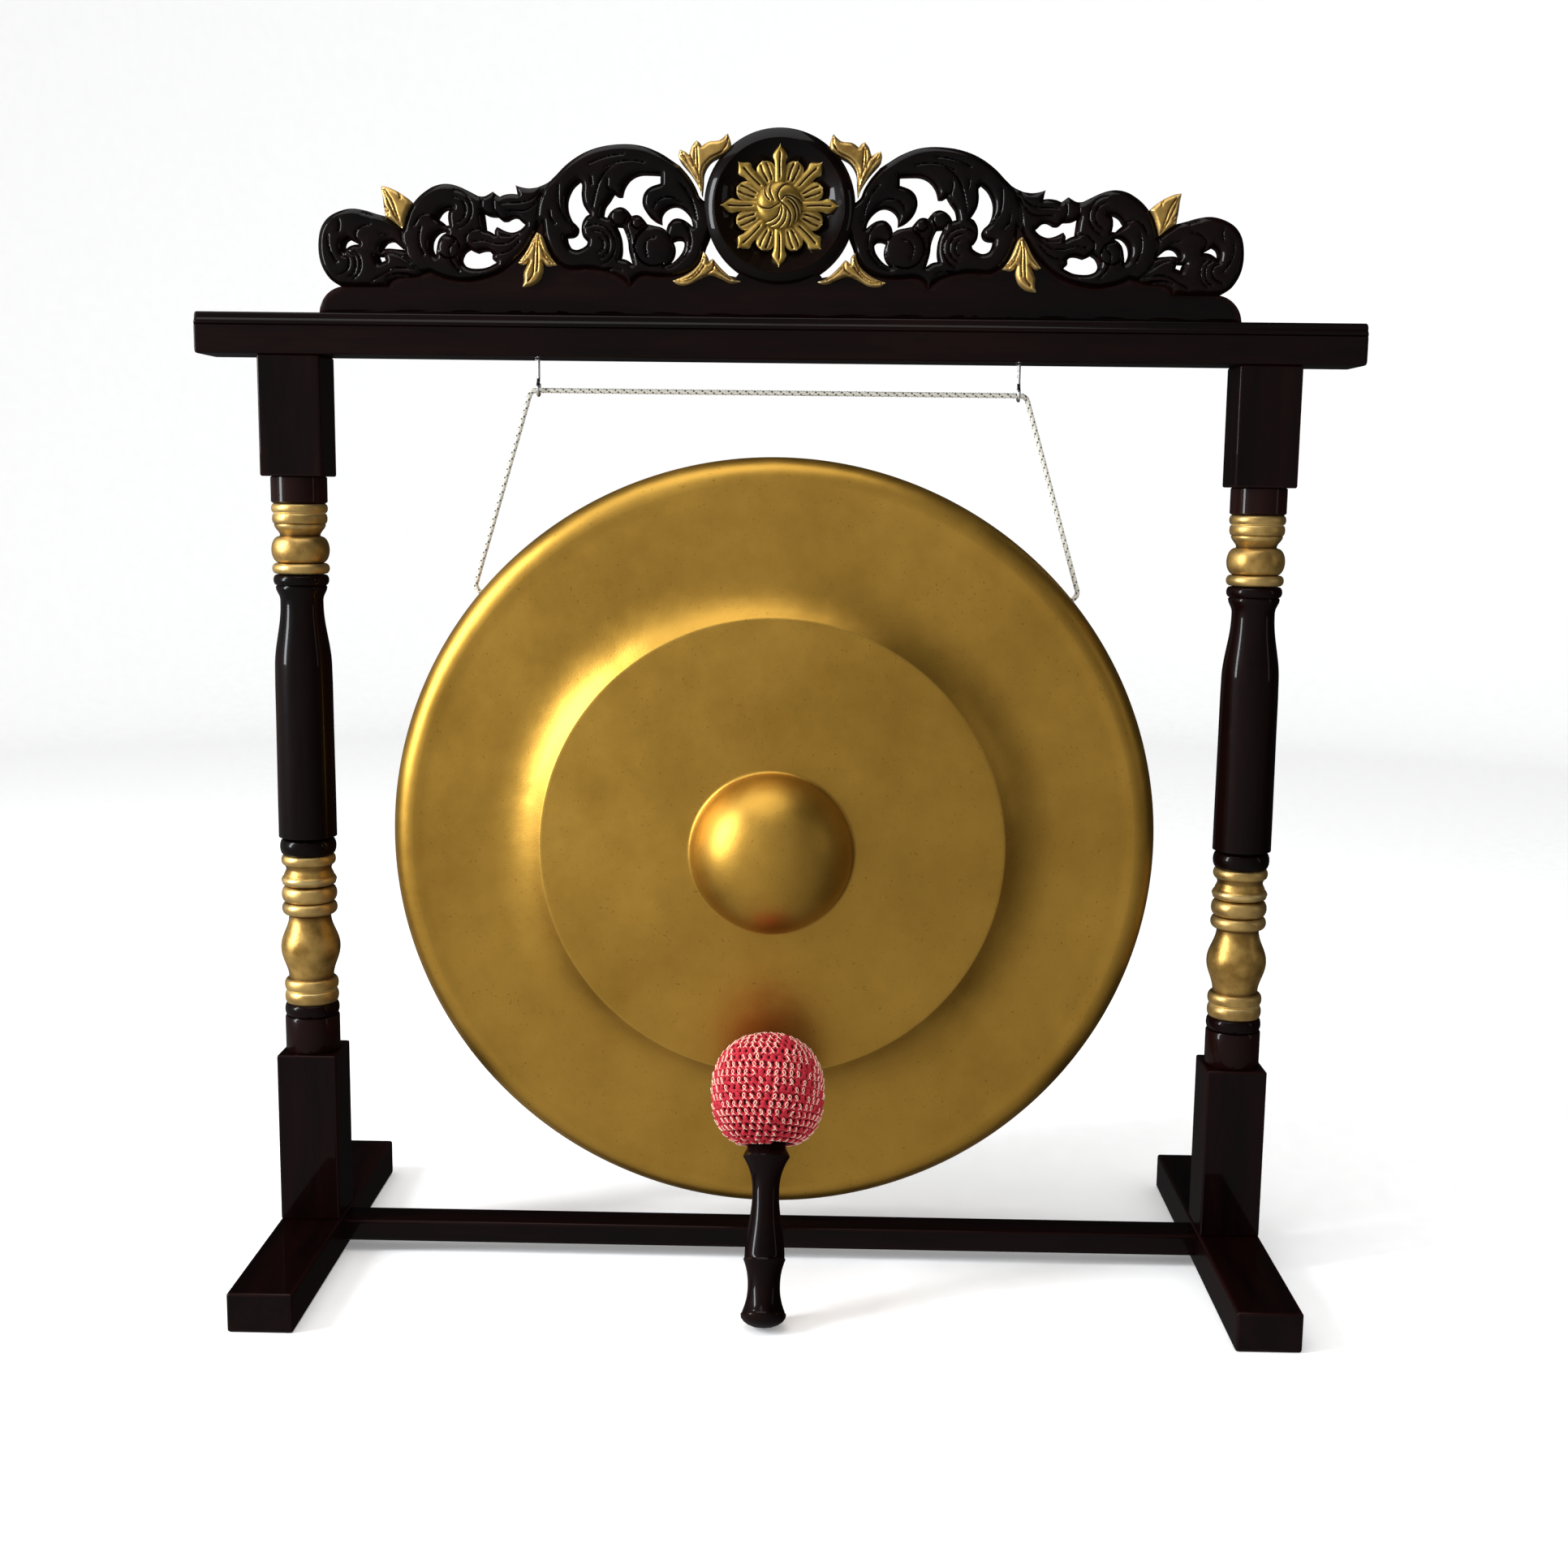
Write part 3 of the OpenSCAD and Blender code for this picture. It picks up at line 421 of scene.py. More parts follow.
def plain_wood():
    """Bare dowel wood with its grain along the peg."""
    shade = Shade("plain_wood")
    grain = shade.noise(300, 4, stretch=(1, 0.12, 1))
    shade.bump(grain, 0.0002, 0.6)
    return shade.finish(shade.ramp(grain, (0.3, (0.34, 0.20, 0.10)), (0.7, (0.52, 0.34, 0.19))),
                        shade.ramp(grain, (0.3, 0.55), (0.7, 0.75)))


def floor_white():
    """Matt pale floor."""
    shade = Shade("floor_white", Emission_Color=(1, 1, 1, 1), Emission_Strength=0.16)
    speckle = shade.noise(40, 4)
    return shade.finish(shade.ramp(speckle, (0.3, (0.84, 0.84, 0.84)), (0.7, (0.87, 0.87, 0.87))),
                        shade.ramp(speckle, (0.3, 0.6), (0.7, 0.7)))


WOOD_X = lacquered_wood("lacquered_wood_along_x", (0.12, 1, 1))
WOOD_Y = lacquered_wood("lacquered_wood_along_y", (1, 0.12, 1))
WOOD_Z = lacquered_wood("lacquered_wood_along_z", (1, 1, 0.12))
CARVED = lacquered_wood("lacquered_carving", (0.3, 1, 1), dark=(0.0007, 0.0003, 0.0003),
                        light=(0.0042, 0.0009, 0.0007), waves=0.0003)
GOLD = gold_paint("gold_paint", (0.27, 0.150, 0.034), (0.52, 0.325, 0.090))
# The same gold paint made darker for the rosette and its button: painted shade
SHADED_GOLD = gold_paint("gold_paint_shaded_copy", (0.17, 0.100, 0.017), (0.42, 0.275, 0.058))
BRONZE = gong_bronze()
STEEL = steel()
ROPE = fibre("white_rope", (0.56, 0.53, 0.44), (0.82, 0.80, 0.72))
ROPE_FLECK = fibre("dark_rope_fleck", (0.020, 0.020, 0.022), (0.06, 0.06, 0.065))
RED_YARN = fibre("red_yarn", (0.30, 0.002, 0.011), (0.56, 0.006, 0.028), 0.02)
# Near-black red for the padding seen between the stitches: painted shade
RED_SHADE = fibre("red_lining_painted_shade", (0.030, 0.0006, 0.0016), (0.085, 0.0015, 0.005), 0.0)
PALE_YARN = fibre("pale_yarn", (0.78, 0.50, 0.38), (0.93, 0.78, 0.60), 0.06)
PEG_WOOD = plain_wood()


# ---- camera and light -----------------------------------------------------------------------

def make_camera():
    """At the photograph's viewpoint: a little above the beam's height, looking slightly down."""
    yaw, pitch, roll = -0.0170, -0.1538, 0.0121
    focal_px, image_px = 2381.7, 1932
    ahead = Vector((math.sin(yaw) * math.cos(pitch), math.cos(yaw) * math.cos(pitch), math.sin(pitch)))
    level = Vector((math.cos(yaw), -math.sin(yaw), 0))
    above = level.cross(ahead)
    right = math.cos(roll) * level + math.sin(roll) * above
    up = math.cos(roll) * above - math.sin(roll) * level
    data = bpy.data.cameras.new("camera")
    data.sensor_width = 36
    data.lens = data.sensor_width * focal_px / image_px
    camera = bpy.data.objects.new("camera", data)
    turn = Matrix((right, up, -ahead)).transposed().to_4x4()
    camera.matrix_world = Matrix.Translation((0.0457, -2.0358, 0.8409)) @ turn
    bpy.context.scene.collection.objects.link(camera)
    bpy.context.scene.camera = camera


def soft_box(name, place, target, width, height, power, colour=(1, 1, 1)):
    """Rectangular studio light at `place`, facing `target`."""
    data = bpy.data.lights.new(name, "AREA")
    data.shape = "RECTANGLE"
    data.size, data.size_y = width, height
    data.energy = power
    data.color = colour
    light = bpy.data.objects.new(name, data)
    light.location = place
    light.rotation_euler = (Vector(target) - Vector(place)).to_track_quat("-Z", "Y").to_euler()
    bpy.context.scene.collection.objects.link(light)


def make_sky():
    """White sky whose mirror image is brightest low in front on the left, and dim behind on the right."""
    world = bpy.data.worlds.new("studio")
    bpy.context.scene.world = world
    world.use_nodes = True
    tree = world.node_tree
    background = tree.nodes["Background"].inputs
    brightest, light_level = (-0.62, -0.70, -0.35), 0.85
    direction = add_node(tree, "ShaderNodeTexCoord").outputs["Generated"]
    facing = add_node(tree, "ShaderNodeVectorMath", {0: direction, 1: brightest}, operation="DOT_PRODUCT")
    mirrored_sky = add_node(tree, "ShaderNodeMapRange", {
        "Value": facing.outputs["Value"], "From Min": -0.5, "From Max": 1.0, "To Min": 0.02, "To Max": 0.66})
    rays = add_node(tree, "ShaderNodeLightPath").outputs
    soft = add_node(tree, "ShaderNodeMix", {
        "Factor": rays["Is Glossy Ray"], 2: light_level, 3: mirrored_sky.outputs["Result"]})
    strength = add_node(tree, "ShaderNodeMath", {0: soft.outputs[0], 1: rays["Is Camera Ray"]},
                        operation="MAXIMUM")
    tree.links.new(strength.outputs[0], background["Strength"])
    background["Color"].default_value = (1, 1, 1, 1)


def make_studio():
    """Pale floor that curves up all round, a tall window-like light on the left, and weaker fills."""
    height, reach, curve = 7000, 6000, 1500
    profile = np.vstack([[[0, height], [reach, height]], arc((reach - curve, curve), curve, 0, -90, 16),
                         [[0, 0]]])
    verts, faces = lathe(profile, 96)
    floor = bpy.data.meshes.new("floor")
    floor.from_pydata([tuple(v) for v in verts], [], faces)
    floor.shade_smooth()
    floor.materials.append(floor_white())
    piece = bpy.data.objects.new("floor", floor)
    bpy.context.scene.collection.objects.link(piece)
    piece.visible_glossy = False
    piece.visible_diffuse = False
    piece.visible_shadow = False
    soft_box("window_light", (-2.6, -1.0, 1.5), (0, 0, 0.8), 0.5, 1.9, 120, (0.92, 0.96, 1.0))
    soft_box("top_light", (-0.5, -0.4, 3.2), (0, 0, 0.4), 2.2, 2.2, 45)
    soft_box("right_light", (2.7, -0.9, 1.3), (0, 0, 0.7), 0.3, 1.6, 2.5, (1.0, 0.98, 0.95))
    make_sky()
    bpy.context.scene.view_settings.view_transform = "Standard"


# ---- stand ----------------------------------------------------------------------------------

# The radius a post's turnings are shares of, its blocks' inner ends, and the beam's underside
POST_R = 30.8
LOWER_BLOCK_TOP, UPPER_BLOCK_Z, BEAM_Z = 226, 843, 966


def bead(low, high, radius, out, steps=8):
    """Turned bead that bulges from radius to radius + out."""
    t = np.linspace(0, math.pi, steps + 1)
    return [(radius + out * math.sin(a), (low + high) / 2 - (high - low) / 2 * math.cos(a)) for a in t]


def ease(low, high, start, end, steps=10):
    """Turned curve whose radius eases from start to end."""
    return [(start + (end - start) * (1 - math.cos(math.pi * i / steps)) / 2, low + (high - low) * i / steps)
            for i in range(steps + 1)]


def post_turnings():
    """The turned middle of a post, from the bottom up, as (is gold, profile) lengths."""
    r = POST_R
    z0, z1 = LOWER_BLOCK_TOP, UPPER_BLOCK_Z
    return [
        (False, [(0.90 * r, z0), (0.94 * r, z0 + 2), (0.94 * r, z0 + 37), (0.90 * r, z0 + 39)]
         + bead(z0 + 39, z0 + 53, 0.84 * r, 0.10 * r)),
        (True, bead(z0 + 53, z0 + 67, 0.82 * r, 0.11 * r) + bead(z0 + 67, z0 + 80, 0.82 * r, 0.11 * r)
         + ease(z0 + 81, z0 + 114, 0.77 * r, 1.02 * r) + ease(z0 + 115, z0 + 149, 1.02 * r, 0.72 * r)
         + bead(z0 + 151, z0 + 164, 0.80 * r, 0.15 * r) + bead(z0 + 164, z0 + 182, 0.76 * r, 0.19 * r)
         + [(0.90 * r, z0 + 184), (0.95 * r, z0 + 189), (0.90 * r, z0 + 192)]
         + ease(z0 + 193, z0 + 201, 0.86 * r, 0.77 * r, 4) + bead(z0 + 205, z0 + 216, 0.82 * r, 0.11 * r)),
        (False, bead(z0 + 216, z0 + 234, 0.82 * r, 0.14 * r) + ease(z0 + 236, z1 - 218, 0.99 * r, 0.97 * r, 4)
         + ease(z1 - 200, z1 - 133, 0.96 * r, 0.72 * r, 12) + ease(z1 - 128, z1 - 115, 0.72 * r, 0.86 * r, 4)
         + bead(z1 - 113, z1 - 102, 0.82 * r, 0.11 * r)),
        (True, bead(z1 - 101, z1 - 90, 0.82 * r, 0.14 * r) + bead(z1 - 90, z1 - 62, 0.70 * r, 0.27 * r, 14)
         + ease(z1 - 61, z1 - 50, 0.67 * r, 0.86 * r, 5) + bead(z1 - 49, z1 - 38, 0.84 * r, 0.08 * r)
         + bead(z1 - 38, z1 - 28, 0.84 * r, 0.10 * r)),
        (False, [(0.86 * r, z1 - 28), (0.94 * r, z1 - 26), (0.94 * r, z1 - 1), (0.90 * r, z1)]),
    ]


def make_posts():
    """Square blocks and black turnings as one piece, and the gold turnings as another."""
    half = (POST_HIGH.x - POST_LOW.x) / 2
    blocks = [bar((-half, -half, low * MM), (half, half, high * MM), 2.2 * MM)
              for low, high in ((FOOT_HIGH.z / MM, LOWER_BLOCK_TOP), (UPPER_BLOCK_Z, BEAM_Z))]
    turned = {gold: [lathe([(0, p[0][1])] + p + [(0, p[-1][1])], 72) for is_gold, p in post_turnings()
                     if is_gold == gold] for gold in (False, True)}
    for side, sign in SIDES.items():
        place = Matrix.Translation((sign * POST_X, 0, 0))
        post = make_object(side + "_post_black", *join_parts(blocks + turned[False]), WOOD_Z, "stand",
                           "lacquered_wood", 50, place)
        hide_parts(side + "_post")
        make_object(side + "_post_gold", *join_parts(turned[True]), GOLD, "stand", "gold_paint", 50, place)


def make_feet_and_bar():
    """Two feet from front to back, and the stretcher that joins the posts."""
    for side, sign in SIDES.items():
        low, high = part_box(side + "_foot")
        foot = make_object(side + "_foot_block", *bar(low, high, 3 * MM), WOOD_Y, "stand",
                           "lacquered_wood", 50)
        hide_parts(side + "_foot")
    reach = POST_X - (FOOT_HIGH.x - FOOT_LOW.x) / 2 + 4 * MM
    low, high = BAR_LOW.copy(), BAR_HIGH.copy()
    low.x, high.x = -reach, reach
    stretcher = make_object("stretcher_bar", *bar(low, high, 3 * MM), WOOD_X, "stand", "lacquered_wood", 50)
    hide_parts("stretcher")


def edge_points(start, end, margin):
    """The start of a straight run, with more points `margin` and twice that from both of its ends."""
    length = np.linalg.norm(end - start)
    steps = [0] if length < 5 * margin else [0, margin, 2 * margin, length - 2 * margin, length - margin]
    return [start + (end - start) * step / length for step in steps]


def make_beam():
    """Top beam with a worked bead and step along both upper edges."""
    half_depth, height = (BEAM_HIGH.y - BEAM_LOW.y) / 2 / MM, (BEAM_HIGH.z - BEAM_LOW.z) / MM
    left = np.vstack([
        arc((-half_depth + 3, 3), 3, 270, 180, 4), [[-half_depth, height - 13.5]],
        arc((-half_depth + 3.2, height - 10), 3.2, 240, 140, 7), [[-half_depth + 2.6, height - 6.2]],
        arc((-half_depth + 5.4, height - 2.8), 2.8, 180, 90, 5)])
    section = np.vstack([left, (left * [-1, 1])[::-1]])
    section = np.vstack([edge_points(a, b, 1.5) for a, b in zip(section, np.roll(section, -1, 0))])
    ends = []
    half = (BEAM_HIGH.x - BEAM_LOW.x) / 2 / MM
    end_round = ((0, 2.2), (0.8, 0.8), (2.6, 0.0), (4, 0.0))
    for x, shrink in ([(-half + inset, shrink) for inset, shrink in end_round]
                      + [(half - inset, shrink) for inset, shrink in end_round[::-1]]):
        scale = np.array([1 - shrink / half_depth, 1 - 2 * shrink / height])
        moved = section * scale + [0, shrink]
        ends.append(np.column_stack([np.full(len(moved), x), moved]))
    count = len(section)
    verts = np.vstack(ends) * MM + [0, 0, BEAM_LOW.z]
    faces = ring_faces(len(ends), count)
    faces += [list(range(count))[::-1], [(len(ends) - 1) * count + k for k in range(count)]]
    beam = make_object("top_beam_moulded", verts, [f[::-1] for f in faces], WOOD_X, "stand",
                       "lacquered_wood", 35)
    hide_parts("top_beam")


def make_pegs():
    """Dowel ends at the back of the beam, and finishes for the hidden pieces kept from the CAD."""
    radius, back = 4.0, BEAM_HIGH.y / MM
    profile = [(0, -6), (radius, -6), (radius, 0), (radius - 0.5, 0.25), (0, 0.5)]
    level = (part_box("beam_dowels")[0].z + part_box("beam_dowels")[1].z) / 2
    pegs = []
    for sign in SIDES.values():
        verts, faces = lathe(profile, 24)
        place = (Matrix.Translation((sign * POST_X, back * MM, level))
                 @ Matrix.Rotation(math.radians(-90), 4, "X"))
        pegs.append(([place @ Vector(v) for v in verts], faces))
    peg = make_object("beam_dowel_ends", *join_parts(pegs), PEG_WOOD, "stand", "plain_wood", 50)
    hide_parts("beam_dowels")
    for name, material in (("crest_dowels", PEG_WOOD), ("stretcher_pins", PEG_WOOD), ("foot_screws", STEEL),
                           ("mallet_core", PEG_WOOD)):
        node = frame["nodes"][name]
        node.data.materials.clear()
        node.data.materials.append(material)


# ---- crest ----------------------------------------------------------------------------------
# Each half of the carving is drawn in (u, z), with u measured outwards from the middle of the
# crest and z upwards from the beam. Fronts and backs are measured from the crest's mid plane.

CREST_BACK = 14
SCROLL_BACK = 5
GROUND_FRONT = 14
SCROLL_FRONT = 20
LEAF_FRONT = 22
MEDALLION_Z = 110.5

# Edges of the scrollwork, from the plinth's end over the scrolls to the medallion and back
UPPER_EDGE = outline(
    [449, 28],
    [[459, 35], [467, 48], [470, 64], [468, 82], [461, 94], [450, 101], [436, 104.5], [422, 103],
     [410, 99.5], [400, 97]],
    [[391, 91], [383, 85]],
    [[380, 95], [377, 103], [373, 110]],
    [[366, 118], [356, 125], [345, 129], [335, 129.5], [325, 127], [315, 122.5], [306, 118]],
    [[299, 118], [291, 122.5]],
    [[287, 119.5], [284, 117.5]],
    [[279, 119.5], [272, 120.5], [266, 120]],
    [[267, 125], [268, 129]],
    [[262, 127], [254, 126], [246, 127]],
    [[237, 131], [228, 138], [218, 148], [206, 157], [192, 164], [175, 168.5], [155, 170],
     [138, 168], [122, 162], [111, 155.5], [101, 149]],
    [[92, 139], [85, 128], [81, 119], [72, 112]],
    [[66, 98], [70, 84]],
    [[72, 78], [75, 71], [77, 64]])
LOWER_EDGE = outline(
    [77, 64],
    [[82, 54], [92, 46], [106, 42], [122, 41], [138, 42], [147, 38], [152, 31]],
    [[157, 36], [166, 42], [180, 46], [196, 48], [212, 47], [222, 51], [232, 62], [239, 78],
     [241, 94]],
    [[246, 86], [256, 70], [268, 57], [284, 44], [302, 37], [322, 34], [342, 37], [356, 43]],
    [[372, 38], [388, 37], [397, 33], [400, 28]],
    [[449, 28]])

# Holes cut through the scrollwork, from the outer end inwards
END_EYE = outline(
    [445, 62],
    [[446, 68], [444, 73], [440, 75.5]],
    [[435, 72.5], [429, 69.5]],
    [[435, 68.5], [440, 66], [445, 62]])
END_WINDOW = outline(
    [406, 61],
    [[406, 67], [402, 72], [396, 73.5], [390, 70.5], [383, 64.5]],
    [[390, 65], [398, 65.5], [403, 64.5], [406, 61]])
END_SLIT = np.array([[411, 58.5], [403, 58.5], [401.5, 53.5], [408, 51]], float)
MIDDLE_EYE = outline(
    [349, 96.5],
    [[345, 102.5], [339, 106], [332, 106.5]],
    [[336, 103], [337, 96], [336, 89]],
    [[340, 89], [344, 93], [349, 96.5]])
MIDDLE_CRESCENT = outline(
    [338, 82],
    [[343, 84], [349, 82], [354, 76], [355.5, 68], [353, 61], [350, 58]],
    [[349, 66], [347, 74], [343, 79], [338, 82]])
MIDDLE_WINDOW = outline(
    [317, 66.5],
    [[322, 63], [325, 56], [322, 50.5], [315, 47], [306, 46.5], [297, 48], [288, 52.5]],
    [[292, 56], [292, 60.5]],
    [[296, 64.5], [302, 65], [309, 63]],
    [[313, 64.5], [317, 66.5]])
BRIDGE_WINDOW = outline(
    [302, 102],
    [[296, 99.5], [288, 99]],
    [[283, 95], [278, 95]],
    [[272, 98], [267, 97.5], [262, 93], [258, 90.5]],
    [[263, 85.5], [271, 82.5], [279, 84], [287, 88]],
    [[289.5, 84], [289.5, 80.5]],
    [[294, 83], [300, 85]],
    [[301, 94], [302, 102]])
MAIN_CRESCENT = outline(
    [204, 134.5],
    [[200.5, 130], [201, 120], [199, 110], [193, 101]],
    [[197, 98.5], [200.5, 92], [201, 84], [199, 78], [195, 75]],
    [[196, 71], [200, 68]],
    [[206, 66], [212, 68], [216, 74], [217, 79]],
    [[210, 80], [206, 84], [206, 90], [212, 96], [216, 106], [216, 117], [211, 128], [204, 134.5]])
MAIN_WINDOW = outline(
    [121, 141.5],
    [[132, 142], [143, 141.5], [152, 137], [158, 129], [160.5, 120]],
    [[165, 120], [169, 122.5]],
    [[173, 116], [178, 109], [180, 99.5]],
    [[175, 98]],
    [[172, 103], [167, 107], [161, 108.5], [155, 106], [150, 100]],
    [[145, 101], [140, 99], [134, 92]],
    [[127, 90.5], [120, 89], [115, 86]],
    [[113, 92], [108, 97], [102, 98], [95, 95.5], [88, 90]],
    [[90, 98], [95, 105], [102, 110], [109, 110.5], [116, 107], [120, 101], [120, 93]],
    [[127, 96], [134, 102], [139, 111], [138, 121], [132, 128], [121, 132]],
    [[121, 141.5]])
BALL_CRESCENT = outline(
    [108.5, 76],
    [[104, 77.5], [99, 77], [96.5, 73], [98, 66], [103, 59], [109, 54], [115, 52]],
    [[110, 57], [107, 63], [106.5, 70], [108.5, 76]])
MAIN_SLOT = outline(
    [166, 90.5],
    [[160, 90]],
    [[157, 84], [154, 75], [153, 66], [151, 58], [149.5, 53]],
    [[155, 56.5], [162, 58]],
    [[160.5, 66], [161, 76], [163, 84], [166, 90.5]])
SCROLLWORK = [np.vstack([UPPER_EDGE, LOWER_EDGE]), END_EYE, END_WINDOW, END_SLIT, MIDDLE_EYE, MIDDLE_CRESCENT,
              MIDDLE_WINDOW, BRIDGE_WINDOW, MAIN_CRESCENT, MAIN_WINDOW, BALL_CRESCENT, MAIN_SLOT]

# Gold leaves
SHOULDER_LEAF = outline(
    [383, 85],
    [[391, 91], [400, 97]],
    [[401.5, 108], [402.5, 118], [404, 126.5]],
    [[396, 125], [386, 120.5], [378, 115], [373, 110]],
    [[377, 103], [380, 95], [383, 85]])
DROP_LEAF = outline(
    [246, 82.5],
    [[250, 76], [257, 63], [265, 52]],
    [[260, 50.5], [254, 54]],
    [[257, 48], [259.5, 42], [259.5, 34], [261, 28.3]],
    [[252, 29.5], [244, 35], [240, 44], [240, 53]],
    [[235, 49], [226, 50.5]],
    [[232, 58], [237, 69], [241, 79], [246, 82.5]])
UPPER_SPRIG = outline(
    [79, 120.5],
    [[83, 131], [91, 143], [102, 156], [101, 164.5]],
    [[96, 162.5], [92, 159.5]],
    [[89, 168], [84.5, 173.5]],
    [[81, 171], [79, 168]],
    [[72, 172.5], [61, 174], [53, 181]],
    [[50, 172], [51, 164], [62, 159.5], [71, 154], [77, 144], [78, 132], [79, 120.5]])
LOWER_SPRIG = outline(
    [108, 36],
    [[98, 40], [87, 47], [80, 55], [77, 65]],
    [[73, 61], [72, 54]],
    [[70, 56.5], [67, 58]],
    [[59, 49], [49, 40.5], [39, 36]],
    [[48, 34], [60, 39], [70, 42], [80, 38.5], [92, 32.5], [102, 32], [108, 36]])

# Gouge cuts that draw the lobes and fingers of the scrolls
SCROLL_CUTS = [line(*points) for points in (
    ((459, 78), (459, 70), (456, 60), (450, 51)),
    ((445, 58), (439, 55), (438, 49), (441, 43), (449, 39)),
    ((438, 61), (432, 56), (431, 48), (433, 41), (438, 37)),
    ((432, 62), (427, 56), (426, 48), (428, 41), (434, 35)),
    ((416, 89), (424, 87), (430, 82), (431, 76), (429, 70)),
    ((448, 93), (447, 88), (448, 82)),
    ((424, 100), (419, 99), (414, 97)),
    ((405, 80), (397, 78)),
    ((401, 60), (392, 60), (384, 57), (376, 51)),
    ((415, 33), (407, 38), (400, 42), (390, 46), (371, 45)),
    ((399, 38), (390, 40), (378, 39)),
    ((371, 88), (365, 97), (357, 100), (350, 97), (342, 90)),
    ((364, 87), (366, 77), (365, 68), (361, 59)),
    ((330, 73), (335, 66), (335, 58), (331, 50), (325, 43)),
    ((303, 86), (312, 84), (318, 78), (318, 71), (316, 67)),
    ((311, 73), (300, 74), (288, 71), (276, 72), (264, 80)),
    ((290, 61), (280, 62), (272, 66), (264, 74)),
    ((283, 79), (272, 79)),
    ((289, 117), (290, 110), (289, 100)),
    ((281, 111), (262, 112), (250, 116), (243, 125)),
    ((276, 104), (258, 104), (248, 111), (241, 122)),
    ((303, 116), (302, 110), (303, 104)),
    ((192, 151), (180, 156), (168, 159), (158, 160)),
    ((176, 147), (165, 152), (150, 154), (137, 152)),
    ((224, 129), (224, 115), (222, 105), (215, 96)),
    ((233, 104), (232, 97), (227, 91)),
    ((168, 150), (176, 143), (182, 134), (186, 122), (189, 108)),
    ((174, 136), (174, 129), (171, 123)),
    ((191, 138), (190, 130)),
    ((127, 108), (124, 114), (117, 118), (108, 118), (100, 113)),
    ((126, 79), (133, 77), (136, 70), (134, 60)),
    ((96, 93), (91, 84), (90, 72), (94, 62), (103, 53), (113, 48)),
    ((100, 132), (92, 122), (87, 110), (84, 97)),
    ((150, 98), (155, 90), (152, 78)),
    ((176, 45), (168, 48), (160, 46)),
)]
SCROLL_CUTS += [arc((331, 104), radius, 95, 250, 14) for radius in (13, 19)]
SCROLL_CUTS += [arc((186, 71), radius, start, 250, 14) for radius, start in ((8, 120), (14, 85), (20, 60))]

# Broad grooves where the two round scrolls stand out from the carving on their outer side
RIM_CUTS = [line(*points) for points in (
    ((233, 135), (241.5, 117), (245, 96), (243.5, 75), (236, 57), (224, 43.5), (207, 35)),
    ((357, 124), (374, 111), (382, 93), (383, 73), (377, 55), (362, 40), (345, 33)),
)]

# Round berries among the scrolls: centre and radius
BERRIES = [((336, 67), 11.5), ((163, 99), 8.5), ((144, 93), 6.5), ((128, 70), 20)]

LEAF_CUTS = [line(*points) for points in (
    ((401, 122), (396, 110), (390, 97), (384, 87)),
    ((399, 122), (392, 111), (388, 99), (384, 88)),
    ((402, 107), (399, 105), (396, 101)),
    ((402, 103), (399, 101), (396, 98)),
    ((385, 120), (384, 114)),
    ((247, 80), (251, 68), (257, 59), (263, 53)),
    ((246, 80), (248, 66), (249, 50), (250, 41), (255, 34)),
    ((244, 80), (245, 66), (245, 52), (246, 44)),
    ((244, 78), (240, 66), (234, 57), (229, 52)),
    ((243, 72), (238, 59), (232, 52)),
    ((79, 124), (84, 138), (91, 149), (99, 161)),
    ((80, 126), (86, 140), (94, 152), (100, 158)),
    ((79, 126), (82, 140), (86, 152), (86, 166)),
    ((79, 126), (82, 140), (83, 152), (84, 167)),
    ((91, 159), (88, 153), (87, 148)),
    ((79, 130), (80, 142), (77, 150), (70, 157), (60, 162), (54, 170), (52, 178)),
    ((105, 36), (97, 37), (88, 41), (80, 50), (76, 61)),
    ((101, 35), (92, 36), (83, 42), (76, 51)),
    ((66, 54), (67, 48), (72, 44)),
    ((66, 53), (58, 44), (49, 38.5)),
)]


def cut_depth(points, cuts, narrow, wide):
    """How deep gouge cuts go at each point: a sharp V inside a wider hollow."""
    depth = np.zeros(len(points))
    for path in cuts:
        near = ((points > path.min(0) - 3 * wide) & (points < path.max(0) + 3 * wide)).all(1)
        gap = distance(points[near], path)
        cut = 1.8 * np.maximum(0, 1 - gap / narrow) + 0.8 * np.exp(-(gap / wide) ** 2)
        depth[near] = np.maximum(depth[near], cut)
    return depth


def eased_edge(points, loops, width):
    """0 at the carving's outline, rising in a round to 1 at `width` from it."""
    edge = np.min([distance(points, loop, closed=True) for loop in loops], axis=0)
    return 1 - (1 - np.clip(edge / width, 0, 1)) ** 1.35


def scroll_height(points):
    """Convex bands with bevelled sides, berries, and the gouge cuts."""
    bevel, dome = 4.2 * eased_edge(points, SCROLLWORK, 5.5), 1.4 * eased_edge(points, SCROLLWORK, 15)
    height = SCROLL_FRONT - 5.6 + bevel + dome
    for centre, radius in BERRIES:
        share = np.linalg.norm(points - centre, axis=1) / radius
        on_berry = share < 1
        height[on_berry] = SCROLL_FRONT - 5 + 5 * np.sqrt(1 - share[on_berry] ** 2)
    return height - cut_depth(points, SCROLL_CUTS, 1.5, 3.4) - cut_depth(points, RIM_CUTS, 2.4, 4.6)


def leaf_height(leaf):
    """Height of one gold leaf, rounded at its edges and cut by its veins."""
    return lambda points: (LEAF_FRONT - 3.5 + 3.5 * eased_edge(points, [leaf], 3.5)
                           - 0.8 * cut_depth(points, LEAF_CUTS, 1.2, 1.9))


def mirrored(part):
    """The same part for the left side."""
    verts, faces = part
    return verts * [-1, 1, 1], [face[::-1] for face in faces]


